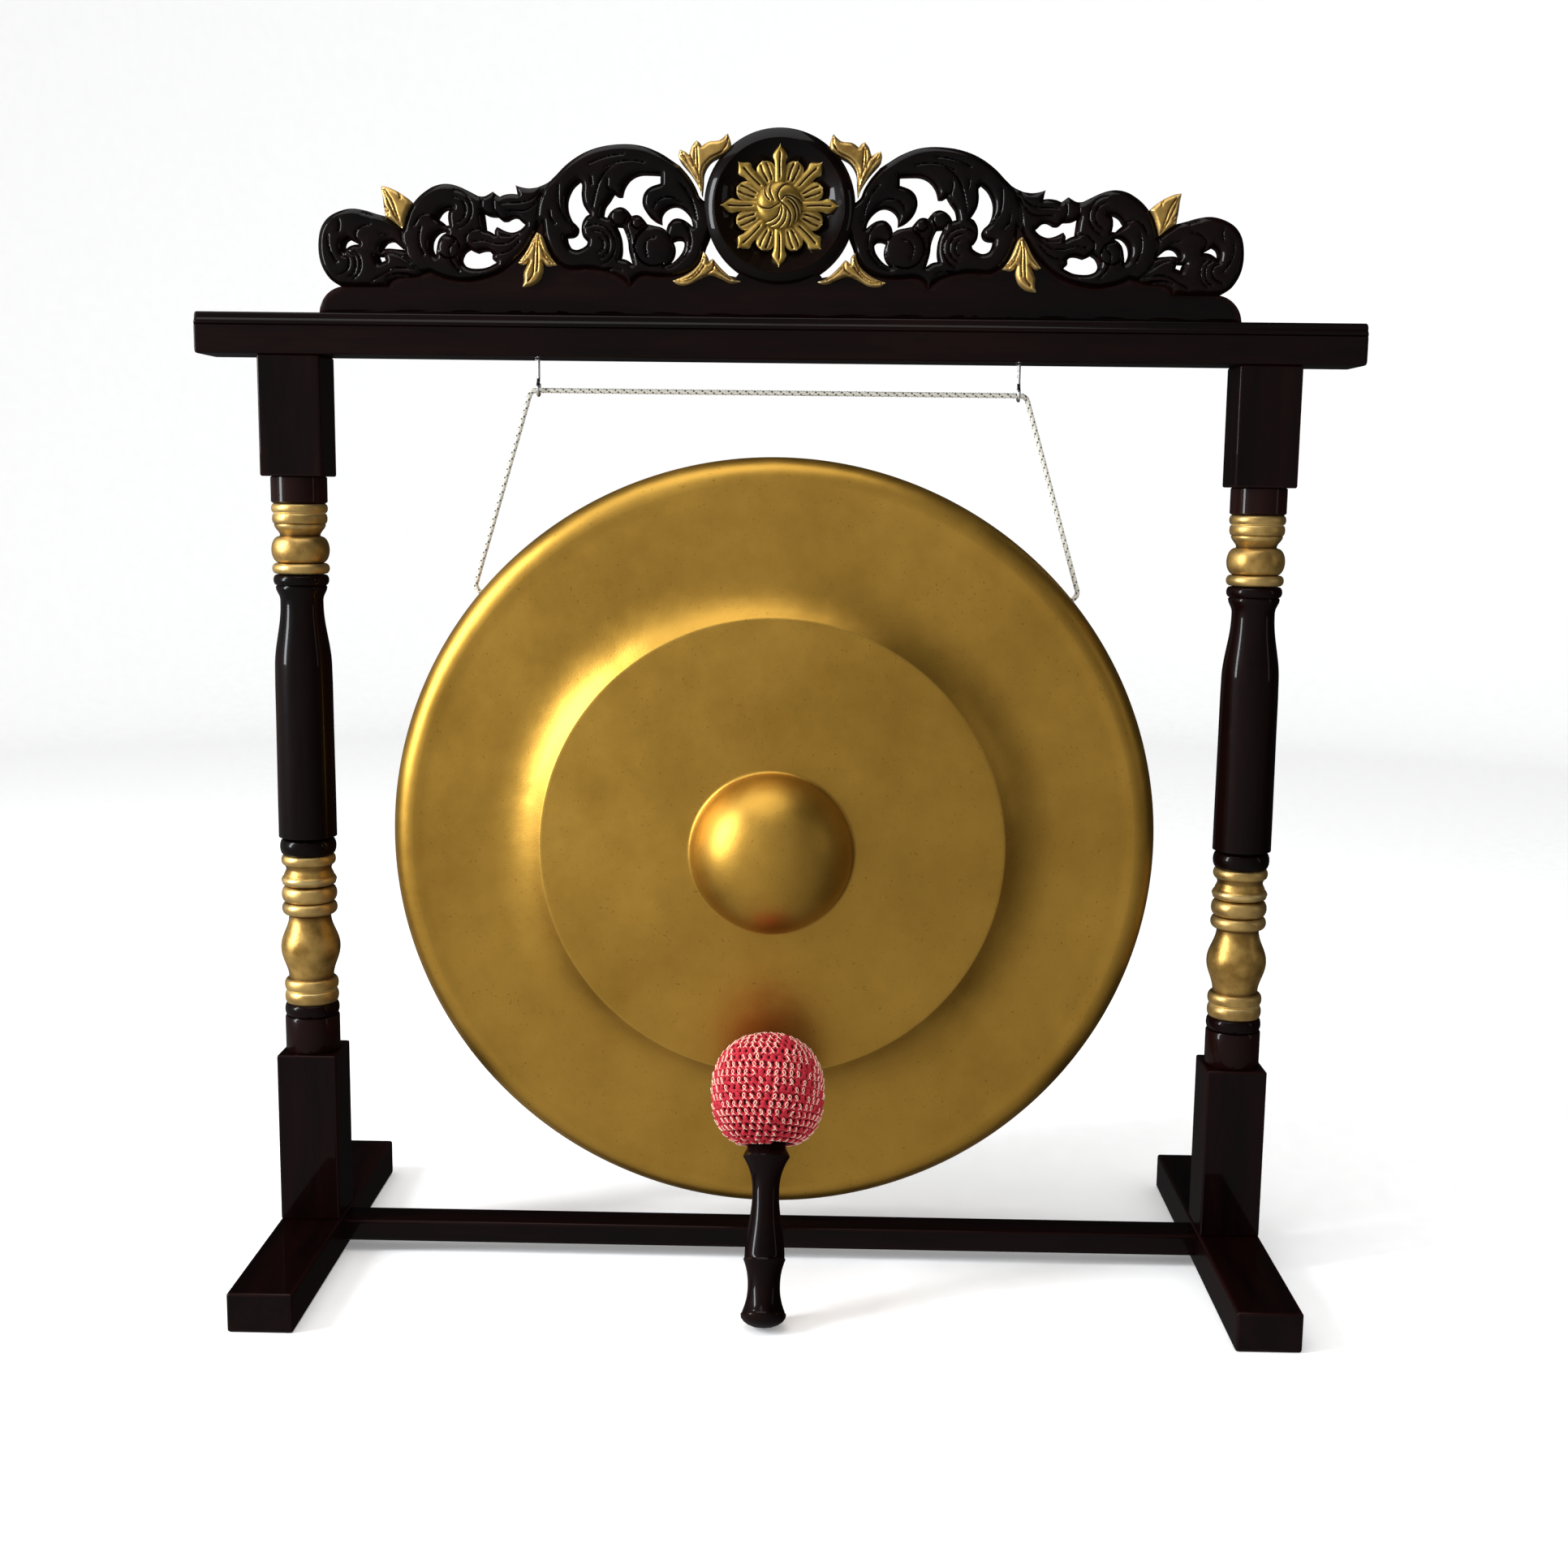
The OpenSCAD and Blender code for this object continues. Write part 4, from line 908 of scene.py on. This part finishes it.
def make_scrollwork():
    """The pierced scrolls with their gold leaves, on the right and mirrored on the left."""
    step = 1.3
    scroll = carve(SCROLLWORK, scroll_height, SCROLL_BACK, step)
    leaves = join_parts([carve([leaf], leaf_height(leaf), SCROLL_BACK - 1, step * 0.7)
                         for leaf in (SHOULDER_LEAF, DROP_LEAF, UPPER_SPRIG, LOWER_SPRIG)])
    place = Matrix.Translation((0, 0, CREST_Z))
    for side, sign in SIDES.items():
        shape = (lambda part: part) if sign > 0 else mirrored
        piece = make_object(side + "_scroll_carving", *shape(scroll), CARVED, "stand", "lacquered_wood", 50,
                            place)
        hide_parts(side + "_scrollwork")
        piece = make_object(side + "_leaf_carving", *shape(leaves), GOLD, "stand", "gold_paint", 50, place)
        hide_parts(side + "_gold_leaves")


def plinth_height(points):
    """Nearly flat ground, with eased edges and the gouge's slight waves."""
    wave = 0.18 * np.sin(points[:, 0] / 9.0 + np.sin(points[:, 1] / 5)) * np.sin(points[:, 1] / 4.2)
    return GROUND_FRONT - 1.6 + 1.6 * eased_edge(points, PLINTH, 2.2) + wave


def plinth_outline():
    """Plinth with quarter-round ends, flat ground under the scrolls, and the medallion's saddle.

    Its ground ends where the scrolls' lower edge begins, past that edge's level run of four points.
    """
    half, high, level_run = 471, 28, 4
    right = np.vstack([[[0, 0], [half - 1, 0], [half, 1]], arc((half - high, 0), high, 4, 90, 10),
                       [[425, high]], LOWER_EDGE[::-1][level_run:],
                       [[72, 54], [60, 44], [44, 41], [38, 48], [0, 48]]])
    return np.vstack([right, (right * [-1, 1])[::-1][1:-1]])


PLINTH = [plinth_outline()]


def make_plinth():
    """The low board that the scrolls and the medallion stand on."""
    part = carve(PLINTH, plinth_height, CREST_BACK, 4)
    piece = make_object("crest_plinth_board", *part, WOOD_X, "stand", "lacquered_wood", 50,
                        Matrix.Translation((0, 0, CREST_Z)))
    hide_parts("crest_plinth")


# ---- medallion and rosette ------------------------------------------------------------------

DISH_FRONT = GROUND_FRONT - 5
ON_MEDALLION = Matrix.Translation((0, 0, CREST_Z + MEDALLION_Z * MM)) @ Matrix.Rotation(math.pi / 2, 4, "X")


def make_medallion():
    """Turned ring with a broad outer bevel, a crisp crown and a hollow dish."""
    front, side_r, bevel_r, crown_r = GROUND_FRONT + 12, 76.5, 45, 65.5
    bevel = (side_r - 1 - bevel_r * math.cos(math.radians(48)),
             front - 0.8 - bevel_r * math.sin(math.radians(62)))
    slope, slope_low_r, hollow_r = math.radians(35), 51, 28
    slope_low = front - 0.4 - (crown_r - slope_low_r) * math.tan(slope)
    hollow = (slope_low_r - hollow_r * math.sin(slope), slope_low + hollow_r * math.cos(slope))
    profile = np.vstack([
        [[0, -CREST_BACK], [side_r - 1, -CREST_BACK], [side_r, -CREST_BACK + 1]],
        [[side_r, front - 8.6], [side_r - 0.4, front - 7.6]], arc(bevel, bevel_r, 48, 62, 10),
        [[crown_r + 0.7, front - 0.2], [crown_r + 0.3, front], [crown_r, front - 0.4]],
        arc(hollow, hollow_r, math.degrees(slope) - 90, -90, 16), [[0, hollow[1] - hollow_r]]])
    ring = make_object("medallion_ring", *lathe(profile, 192), CARVED, "stand", "lacquered_wood", 32,
                       ON_MEDALLION)
    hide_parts("medallion")


def petal(tip, half_width, veins):
    """One petal along +X: half_width(t) from its root to its tip, domed across and cut by its veins."""
    root, rows, across = 17, 26, 21
    t, side = np.meshgrid(np.linspace(0, 1, rows), np.linspace(-1, 1, across), indexing="ij")
    width = np.array([max(0.2, half_width(x)) for x in t[:, 0]])[:, None]
    length = root + (tip - root) * t
    flat = np.column_stack([length.ravel(), (width * side).ravel()])
    rise = 10.4 + 1.2 * np.sin(math.pi * t * 0.9) - 2.6 * np.abs(side) ** 2.4 + 0.8 * t
    height = rise.ravel() - 1.2 * cut_depth(flat, veins, 1.1, 1.6)
    top = np.column_stack([flat, DISH_FRONT + height])
    foot = np.column_stack([flat, np.full(len(flat), DISH_FRONT + 6.2)])
    count = rows * across
    faces = []
    for i in range(rows - 1):
        for k in range(across - 1):
            a = i * across + k
            faces.append([a, a + across, a + across + 1, a + 1])
            faces.append([count + n for n in (a, a + 1, a + across + 1, a + across)])
    border = ([(i * across, (i + 1) * across) for i in range(rows - 1)]
              + [((rows - 1) * across + k, (rows - 1) * across + k + 1) for k in range(across - 1)]
              + [((i + 1) * across - 1 + across, (i + 1) * across - 1) for i in range(rows - 1)]
              + [(k + 1, k) for k in range(across - 1)])
    faces += [[a, count + a, count + b, b] for a, b in border]
    return np.vstack([top, foot]) * MM, faces


def make_rosette():
    """Sixteen petals by turns pointed and round, the upright pointed ones with square shoulders.

    Each shape function gives a petal's half width at share t of its length.
    """
    def ogee(t):
        if t < 0.73:
            return 5.2 + 0.3 * t + 1.9 * math.exp(-((t - 0.73) / 0.09) ** 2)
        return 7.3 * (1 - ((t - 0.73) / 0.27) ** 1.45)

    def square(t):
        if t < 0.79:
            return 4.8 + 1.9 * t + 2.0 * math.exp(-((t - 0.79) / 0.09) ** 2)
        return 8.3 * (1 - ((t - 0.79) / 0.21) ** 1.12)

    def rounded(t):
        return (4.5 + 4.6 * min(1, t / 0.6)) * math.sqrt(max(0, 1 - max(0, (t - 0.72) / 0.28) ** 2))

    mid_vein = [line((28, 0), (40, 0.5), (52, 0))]
    side_veins = [line((27, 2.2), (36, 3.2), (43, 3.0)), line((27, -2.2), (36, -3.2), (43, -3.0))]
    parts = []
    for i in range(16):
        shape = rounded if i % 2 else (square if i % 4 == 2 else ogee)
        verts, faces = petal(47 if i % 2 else 60, shape, side_veins if i % 2 else mid_vein)
        lift = Matrix.Translation((0, 0, (0 if i % 2 else 1.3) * MM))
        turn = Matrix.Rotation(i * math.pi / 8, 4, "Z") @ lift
        parts.append(([turn @ Vector(v) for v in verts], faces))
    parts.append(lathe([(0, DISH_FRONT), (34, DISH_FRONT), (34, DISH_FRONT + 7), (26, DISH_FRONT + 9),
                        (0, DISH_FRONT + 9)], 64))
    rosette = make_object("rosette_petals", *join_parts(parts), SHADED_GOLD, "stand", "gold_paint", 55,
                          ON_MEDALLION)
    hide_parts("rosette")


def make_button():
    """Domed button parted by an S-shaped cut, with curved flutes on both halves."""
    radius, rings, around = 23.5, 44, 160
    s_cut = line((10.9, 20.9), (5.2, 20.1), (0.6, 16), (-1.7, 10.3), (-0.6, 4.6), (2.9, 1.1), (7.4, -2.9),
                 (10.9, -8.6), (11.1, -14.3), (8.6, -21))
    flutes = [line((-8, 21.8), (-9.7, 17.2), (-9.2, 11.5), (-5.7, 4)),
              line((-14.1, 18.9), (-15.2, 13.8), (-13.4, 8), (-10.3, 4.5)),
              line((-22.8, 1.4), (-17.8, -2.9), (-9.7, -4), (-4, -1.1), (0, 1.1)),
              line((-15.5, -17.8), (-7.4, -14.9), (-1.7, -10.3), (0.3, -3.4)),
              line((-9.7, -20.6), (-2.9, -17.8), (1.1, -12.6), (2.8, -5.7), (1.6, -0.6)),
              line((-0.6, -22.6), (4.6, -17.2), (6.8, -11), (6.6, -5)),
              line((2.2, 5), (6.3, 8.6), (13.2, 8), (20.1, 4.6), (22.6, 1)),
              line((7.2, 7), (12, 5.2), (16.6, 0.6), (19.5, -5.7), (20.1, -10.3)),
              line((9, 3.5), (12.4, 0.5), (15.4, -4.6), (16.4, -11.5), (14.6, -16.8))]
    profile = [(radius - 1.5, 0)] + [(radius * math.cos(a), 10.5 * math.sin(a) + 2.5)
                                     for a in np.linspace(0, math.pi / 2, rings)[:-1]]
    angle = np.linspace(0, 2 * math.pi, around, endpoint=False)
    flat = np.array([(r * math.cos(a), r * math.sin(a)) for r, _ in profile for a in angle])
    height = np.repeat([h for _, h in profile], around)
    height[around:] -= (1.1 * cut_depth(flat[around:], [s_cut], 1.0, 1.6)
                        + cut_depth(flat[around:], flutes, 0.9, 2.2))
    verts = np.column_stack([flat, height + DISH_FRONT + 11])
    verts = np.vstack([verts, [[0, 0, verts[-around:, 2].mean()]]])
    faces = ring_faces(len(profile), around)
    top = (len(profile) - 1) * around
    faces += [[top + k, top + (k + 1) % around, len(verts) - 1] for k in range(around)]
    faces.append(list(range(around))[::-1])
    button = make_object("rosette_swirl_button", verts * MM, faces, SHADED_GOLD, "stand", "gold_paint", 60,
                         ON_MEDALLION)
    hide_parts("rosette_button")


# ---- gong -----------------------------------------------------------------------------------

# The gong balances below its rope holes, which turns its face slightly downwards
GONG_TILT = math.radians(1.93)
GONG_WALL = 3
GONG_R, DISC_R, BOSS_R, SHOULDER = 405, 244, 84, 26
BOSS_BASE, BOSS_RISE = 32, 72
BOSS_FRONT = BOSS_BASE + BOSS_RISE
# Rope holes: angle above level, and middle of the bore as radius and depth behind the face
HOLE_ANGLE, HOLE_R, BORE_AT_R, BORE_DEPTH = 40, 5, 402, 38


def gong_profile():
    """Outer face of the gong as (radius, s), s forwards from the outer face, from boss to rim."""
    rise, ramp_r = 22, 300
    turn = 2 * math.atan(rise / (ramp_r - DISC_R))
    ramp = (ramp_r - DISC_R) / math.sin(turn)
    slope = np.linspace(turn, 0, 16)
    boss = np.radians(np.linspace(88.5, 4, 34))
    return np.vstack([
        np.column_stack([BOSS_R * np.cos(boss), BOSS_BASE + BOSS_RISE * np.sin(boss)]),
        arc((BOSS_R + 5, 36), 5, 190, 268, 7), np.column_stack([np.linspace(BOSS_R + 12, DISC_R - 4, 20),
                                                                np.linspace(30.6, 22.6, 20)]),
        [[DISC_R - 1.6, 22.4], [DISC_R - 0.4, 22.0], [DISC_R + 0.5, 21.2]],
        np.column_stack([ramp_r - ramp * np.sin(slope), ramp * (1 - np.cos(slope))])[1:],
        np.column_stack([np.linspace(308, 374, 9), np.linspace(-0.1, -1.0, 9)]),
        arc((GONG_R - SHOULDER, -SHOULDER), SHOULDER, 88, 0, 18),
        np.column_stack([np.linspace(GONG_R - 1.5, 376, 16), np.linspace(-33, -160, 16)]),
        [[375.4, -163.5], [374.6, -165]]])


def hammered(flat, seed):
    """Small rises and dents of a hand-hammered sheet at points (x, y), in mm."""
    rng = np.random.default_rng(seed)
    height = 0.35 * np.sin(flat[:, 0] / 31 + 1.3 * np.sin(flat[:, 1] / 43)) * np.sin(flat[:, 1] / 37 + 0.7)
    for _ in range(90):
        turn, far = rng.uniform(0, 2 * math.pi), rng.uniform(100, 400)
        reach, depth = rng.uniform(5, 17), rng.uniform(0.15, 0.65)
        gap2 = ((flat - [far * math.cos(turn), far * math.sin(turn)]) ** 2).sum(1)
        height -= depth * np.exp(-gap2 / reach ** 2)
    return height


def make_gong():
    """The whole bronze shell, spun from its section, hammered, and drilled for the rope."""
    outer = gong_profile()
    along = directions(outer)
    inner = outer + GONG_WALL * np.column_stack([along[:, 1], -along[:, 0]])
    inner = inner[inner[:, 0] > 1]
    profile = np.vstack([[[0, BOSS_FRONT - GONG_WALL]], inner, outer[::-1], [[0, BOSS_FRONT]]])
    verts, faces = lathe(profile, 320)
    tilted = Matrix.Rotation(math.pi / 2 + GONG_TILT, 4, "X")
    clean = np.array([tilted @ Vector(v) for v in verts])
    low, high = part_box("gong")
    place = Matrix.Translation((low + high) / 2 - Vector((clean.min(0) + clean.max(0)) / 2)) @ tilted
    far = np.linalg.norm(verts[:, :2], axis=1) / MM
    verts[:, 2] += hammered(verts[:, :2] / MM, 7) * np.clip(1.4 - far / 420, 0.12, 1) * MM
    gong = make_object("bronze_gong", verts, faces, BRONZE, "gong", "gong_bronze", 28)
    for sign in SIDES.values():
        angle = math.radians(HOLE_ANGLE)
        drill, drill_faces = lathe([(0, -25), (HOLE_R, -25), (HOLE_R, 25), (0, 25)], 40)
        out = Vector((sign * math.cos(angle), math.sin(angle), 0))
        turn = out.to_track_quat("Z", "Y").to_matrix().to_4x4()
        seat = Matrix.Translation((out * BORE_AT_R + Vector((0, 0, -BORE_DEPTH))) * MM)
        cutter = bpy.data.meshes.new("rope_hole_drill")
        cutter.from_pydata([tuple(seat @ turn @ Vector(v)) for v in drill], [], drill_faces)
        tool = bpy.data.objects.new("rope_hole_drill", cutter)
        bpy.context.scene.collection.objects.link(tool)
        cut = gong.modifiers.new("rope_hole", "BOOLEAN")
        cut.object, cut.operation, cut.solver = tool, "DIFFERENCE", "EXACT"
        cut_gong = gong.evaluated_get(bpy.context.evaluated_depsgraph_get())
        with_hole = bpy.data.meshes.new_from_object(cut_gong)
        gong.modifiers.clear()
        gong.data = with_hole
        bpy.data.objects.remove(tool)
    gong.data.transform(place)
    gong.data.shade_smooth()
    gong.data.set_sharp_from_angle(angle=math.radians(28))
    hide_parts("gong")


# ---- hooks and rope -------------------------------------------------------------------------

JOINTS = {joint["name"]: joint for joint in frame["record"]["behaviour"]["joints"]}
SLING_Z = JOINTS["sling_swing"]["pos_m"][2] / MM
HANG_Z = JOINTS["gong_swing"]["pos_m"][2] / MM
HOOK_X = (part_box("right_hook")[0].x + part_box("right_hook")[1].x) / 2 / MM
ROPE_R, ROPE_BEND = 3, 8


def make_hooks():
    """Bright screw hooks: a collar, a swan neck, and a round bend that ends in a rounded tip."""
    wire, bend = 1.7, 6
    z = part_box("right_hook")[0].z / MM + bend + 1.8
    sweep = math.acos(1 - bend / (2 * bend + 4))
    neck = z + 2 * (bend + 2) * math.sin(sweep)
    degrees = math.degrees(sweep)
    path = np.vstack([[[0, BEAM_Z - 1], [0, BEAM_Z - 5], [0, neck + 3]],
                      arc((bend + 2, neck), bend + 2, 180, 180 + degrees, 8),
                      arc((-2, z), bend + 2, degrees, 0, 8)[1:], arc((0, z), bend, 0, -180, 24)[1:],
                      [[-bend, z + 2.5], [-bend, z + 5]]])
    path = np.column_stack([np.zeros(len(path)), -path[:, 0], path[:, 1]])
    parts = [tube(path * MM, np.tile([1, 0, 0], (len(path), 1)), wire * MM, 16)]
    tip = path[-1] * MM
    ball, ball_faces = lathe([(0, -0.4)] + [(wire * math.cos(a), wire * math.sin(a))
                                            for a in np.radians(np.arange(0, 90, 15))] + [(0, wire)], 16)
    parts.append((ball + tip, ball_faces))
    collar, collar_faces = lathe([(0, -1.6), (3.2, -1.6), (4, -1.2), (4, -0.2), (3.8, 0), (0, 0)], 32)
    parts.append((collar + [0, 0, BEAM_Z * MM], collar_faces))
    for side, sign in SIDES.items():
        hook = make_object(side + "_screw_hook", *join_parts(parts), STEEL, "stand", "bright_steel", 50,
                           Matrix.Translation((sign * HOOK_X * MM, 0, 0)))
        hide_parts(side + "_hook")


def hole_place():
    """Middle of the right rope hole in the rope's plane (u, z), and the direction out of the gong."""
    angle = math.radians(HOLE_ANGLE)
    out = np.array([math.cos(angle), math.sin(angle)])
    radius = 402.4
    return np.array([radius * out[0], HANG_Z]), out


def evenly(path, step):
    """The same path with points every `step`."""
    path = np.asarray(path, float)
    far = np.concatenate([[0], np.cumsum(np.linalg.norm(np.diff(path, axis=0), axis=1))])
    count = int(far[-1] / step) + 1
    want = np.linspace(0, far[-1], count)
    return np.column_stack([np.interp(want, far, path[:, i]) for i in range(path.shape[1])])


def rope_route():
    """Centre line of the rope in (u, z), from inside the left flange over the hooks to the right."""
    hole, out = hole_place()
    hook_turn = np.array([HOOK_X + 2, SLING_Z - ROPE_BEND])
    inwards = math.radians(180 - HOLE_ANGLE)
    across = np.array([math.sin(inwards), math.cos(inwards)])
    hole_turn = hole + 6 * out - ROPE_BEND * across
    leg = hole_turn - hook_turn
    leg_angle = math.degrees(math.atan2(-leg[1], leg[0]))

    def bend(centre, start, end):
        return arc(centre, ROPE_BEND, 90 - start, 90 - end, 14)

    half = np.vstack([[[0, SLING_Z]], bend(hook_turn, 0, leg_angle),
                      bend(hole_turn, leg_angle, 180 - HOLE_ANGLE), [hole - (GONG_WALL + 6) * out]])
    return np.vstack([(half * [-1, 1])[::-1], half[1:]])


def braid(path, normal, radius):
    """Twelve-strand braid round a path in metres: its plain strands and core, and its dark strands."""
    each_way, lay, core_share = 6, 18 * MM, 0.62
    step = 0.75 * MM
    path = evenly(path, step)
    along = directions(path)
    side = np.cross(along, np.broadcast_to(normal, path.shape))
    side /= np.linalg.norm(side, axis=1)[:, None]
    up = np.cross(along, side)
    turn = 2 * math.pi * np.arange(len(path)) * step / lay
    strand = 0.27 * radius
    plain, dark = [], []
    for way in (1, -1):
        for k in range(each_way):
            angle = way * turn + 2 * math.pi * k / each_way
            out = np.cos(angle)[:, None] * side + np.sin(angle)[:, None] * up
            lift = radius - strand * (1.5 - 0.5 * way * np.cos(each_way * turn))
            made = tube(path + out * lift[:, None], out, strand * 1.12, 5, flat=0.8)
            (dark if way > 0 and k % 3 == 0 else plain).append(made)
    core = tube(path, np.broadcast_to(normal, path.shape), radius * core_share, 8)
    return plain + [core], dark


def make_sling():
    """The braided rope over both hooks, and a stopper knot inside each hole."""
    route = rope_route()
    path = np.column_stack([route[:, 0], np.zeros(len(route)), route[:, 1]]) * MM
    plain, dark = braid(path, (0, 1, 0), ROPE_R * MM)
    rope = make_object("sling_braid", *join_parts(plain), ROPE, "sling", "white_rope", 70)
    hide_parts("sling_rope")
    make_object("sling_braid_flecks", *join_parts(dark), ROPE_FLECK, "sling", "white_rope", 70)
    hole, out = hole_place()
    aslant, pulled_tight = (0.35, 0.25, 0.9), 2.7 * MM
    knot_plain, knot_dark = braid(stopper_knot() * MM, aslant, pulled_tight)
    for side, sign in SIDES.items():
        start = hole - (GONG_WALL + 2) * out
        turn = Vector((-sign * out[0], 0, -out[1])).to_track_quat("Z", "Y").to_matrix().to_4x4()
        place = Matrix.Translation((sign * start[0] * MM, 0, start[1] * MM)) @ turn
        knot = make_object(side + "_stopper_knot", *join_parts(knot_plain), ROPE, "sling", "white_rope", 70,
                           place)
        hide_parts(side + "_knot")
        make_object(side + "_knot_flecks", *join_parts(knot_dark), ROPE_FLECK, "sling", "white_rope", 70,
                    place)


def stopper_knot():
    """Double overhand knot along +Z, in mm: the rope, two and a half wraps back round it, and its tail."""
    wraps, length = 2.5, 14.0
    turn = np.linspace(0, 2 * math.pi * wraps, 60)
    climb = turn / turn[-1]
    oval = np.column_stack([7.4 * np.cos(turn), 5.3 * np.sin(turn), length - 1 - (length - 3) * climb])
    points = np.vstack([[(2.4, 0, -3), (2.4, 0, 3), (2.4, 0, 9), (2.6, 0, 13.5), (5.0, 0, 15.6)], oval,
                        [(-5.6, -2.6, 1.2), (-3.2, -1.0, 3.0), (-2.5, 0, 6), (-2.4, 0, 12), (-2.8, 0.3, 18),
                         (-3.4, 0.8, 26)]])
    return line(*points)


# ---- mallet ---------------------------------------------------------------------------------

# Lengths along the mallet are measured from the middle of its head, the handle downwards
MALLET_LEAN = math.radians(24)
HEAD_R, HANDLE_L = 60, 238
COVER_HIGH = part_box("mallet_cover")[1]
ON_MALLET = (Matrix.Translation((0, COVER_HIGH.y - HEAD_R * MM, COVER_HIGH.z - HEAD_R * MM))
             @ Matrix.Rotation(-MALLET_LEAN, 4, "X"))


def flare(start, end, r_start, r_end, power, steps=16):
    """Points (radius, height) of a hollow flare that leaves `start` upright and widens towards `end`."""
    return [(r_start + (r_end - r_start) * t ** power, start + (end - start) * t)
            for t in np.linspace(0, 1, steps)]


def make_mallet_handle():
    """Turned handle: flared collar, waisted neck, two waisted grips and a rounded end."""
    end = -HANDLE_L
    profile = [(0, end), (8, end + 0.6), (15, end + 3), (19.5, end + 6), (22.3, end + 9.5),
               (23, end + 12.5), (22.8, end + 14.2), (21.6, end + 15.4)]
    profile += flare(-198, end + 17, 16.4, 21.2, 2.0)[::-1] + flare(-197, -172, 16.4, 21.0, 2.2)
    profile += [(21.5, -171), (20.9, -170)] + ease(-169, -106, 20.4, 13.8, 22)
    profile += flare(-105, -69.5, 13.8, 23.6, 2.4)
    profile += [(24.2, -68.2), (23.9, -67.2), (22.4, -64), (20.6, -61), (19.8, -57), (19.6, -48), (11, -48),
                (11, 18), (0, 18)]
    handle = make_object("mallet_turned_handle", *lathe(profile, 96), WOOD_Z, "mallet", "lacquered_wood", 32,
                         ON_MALLET)
    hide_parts("mallet_handle")


def head_profile(radius, steps=240):
    """The stuffed head from its crown down to the mouth: (radius, height), a barrel rounder above."""
    points = []
    for a in np.radians(np.linspace(90, -66, steps)):
        power = 2.2 if a > 0 else 2.6
        reach = radius / (abs(math.cos(a)) ** power + abs(math.sin(a)) ** power) ** (1 / power)
        height = reach * math.sin(a)
        points.append((max(0, reach * math.cos(a)), height if a > 0 else 1.04 * height))
    return np.array(points)


def cover_yarns():
    """Centre lines of the cover's red and pale yarn, and the head's normals along them, in mm.

    The yarns are crocheted together in one spiral of slanting stitches, from the crown to the mouth.
    """
    rng = np.random.default_rng(3)
    row_gap, stitch, shortest_r = 7.9, 7.7, 3.2
    samples = 16
    outline_points = head_profile(56.6)
    far = np.concatenate([[0], np.cumsum(np.linalg.norm(np.diff(outline_points, axis=0), axis=1))])
    along, angle = [3.0], [0.0]
    while along[-1] < far[-1] - 2.2:
        step = stitch / max(shortest_r, np.interp(along[-1], far, outline_points[:, 0]))
        along.append(along[-1] + row_gap * step / (2 * math.pi))
        angle.append(angle[-1] + step)
    count = len(along) - 1
    phase = np.arange(count * samples) / samples
    part, index = phase % 1, phase.astype(int)
    wobble = rng.normal(0, 1, (count + 1, 5))
    # Each stitch climbs over the row before it up to its peak, and comes back
    peak = 0.54 + 0.13 * np.clip(wobble[index, 0], -2, 2)
    turn = np.where(part < peak, part / peak, 2 - (1 - part) / (1 - peak)) / 2
    climb = (1 - np.abs(2 * np.clip(turn, 0, 1) - 1)) ** 0.85
    around = np.interp(phase, np.arange(count + 1), angle) + 0.05 * np.sin(2 * math.pi * part)
    reach = 7.0 + 0.6 * np.clip(wobble[index, 1], -2, 2)
    middle = np.interp(phase, np.arange(count + 1), along) - reach * (climb - 0.5)
    middle = np.clip(middle, 0.3, far[-1] - 0.3)
    # Out of the head's surface: loops lie on top, and their feet are pulled in
    out = -1.3 + 2.1 * np.clip(climb, 0, 1) ** 0.6 + 0.12 * np.clip(wobble[index, 2], -2, 2)

    def at(column, where):
        return np.interp(where, far, outline_points[:, column])

    flow_r, flow_h = at(0, middle + 1) - at(0, middle - 1), at(1, middle + 1) - at(1, middle - 1)
    size = np.maximum(np.hypot(flow_r, flow_h), 1e-6)
    normal_r, normal_h = -flow_h / size, flow_r / size
    normal = np.column_stack([normal_r * np.cos(around), normal_r * np.sin(around), normal_h])
    r, h = at(0, middle) + out * normal_r, at(1, middle) + out * normal_h
    centre = np.column_stack([r * np.cos(around), r * np.sin(around), h])
    flow = np.gradient(centre, axis=0)
    side = np.cross(flow, normal)
    side /= np.maximum(np.linalg.norm(side, axis=1)[:, None], 1e-6)
    # The pale yarn rides on the loops, and sinks between them and in some whole stitches
    hidden = np.where(wobble[index, 3] > 0.8, 1.6, 0)
    raised = (1.6 - 0.15 * np.clip(wobble[index, 4], -2, 2)) * np.clip(5 * climb, 0, 1) - hidden
    pale = centre + 0.3 * side + raised[:, None] * normal
    red = centre - 0.2 * side
    return red, pale, normal


def make_mallet_cover():
    """Crocheted cover of a red and a pale yarn worked together, over a dark red under-layer of painted shade.
    """
    red, pale, normal = cover_yarns()
    body = head_profile(54.6, 60)
    red_part = tube(red * MM, normal, 2.15 * MM, 8, flat=0.8)
    pale_part = tube(pale * MM, normal, 0.37 * MM, 6)
    shade_lining_part = lathe(np.vstack([[[0, body[-1, 1]]], body[::-1]]), 96)
    cover = make_object("mallet_crocheted_cover", *red_part, RED_YARN, "mallet", "red_yarn", 70, ON_MALLET)
    # Under the yarn, the padding as a dark red layer of painted shade
    shade_lining = make_object("mallet_cover_shade_lining", *shade_lining_part, RED_SHADE, "mallet", "red_yarn", 70, ON_MALLET)
    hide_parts("mallet_cover", "mallet_padding")
    make_object("mallet_cover_pale_yarn", *pale_part, PALE_YARN, "mallet", "red_yarn", 70, ON_MALLET)


make_camera()
make_studio()
make_posts()
make_feet_and_bar()
make_beam()
make_pegs()
make_scrollwork()
make_plinth()
make_medallion()
make_rosette()
make_button()
make_gong()
make_hooks()
make_sling()
make_mallet_handle()
make_mallet_cover()
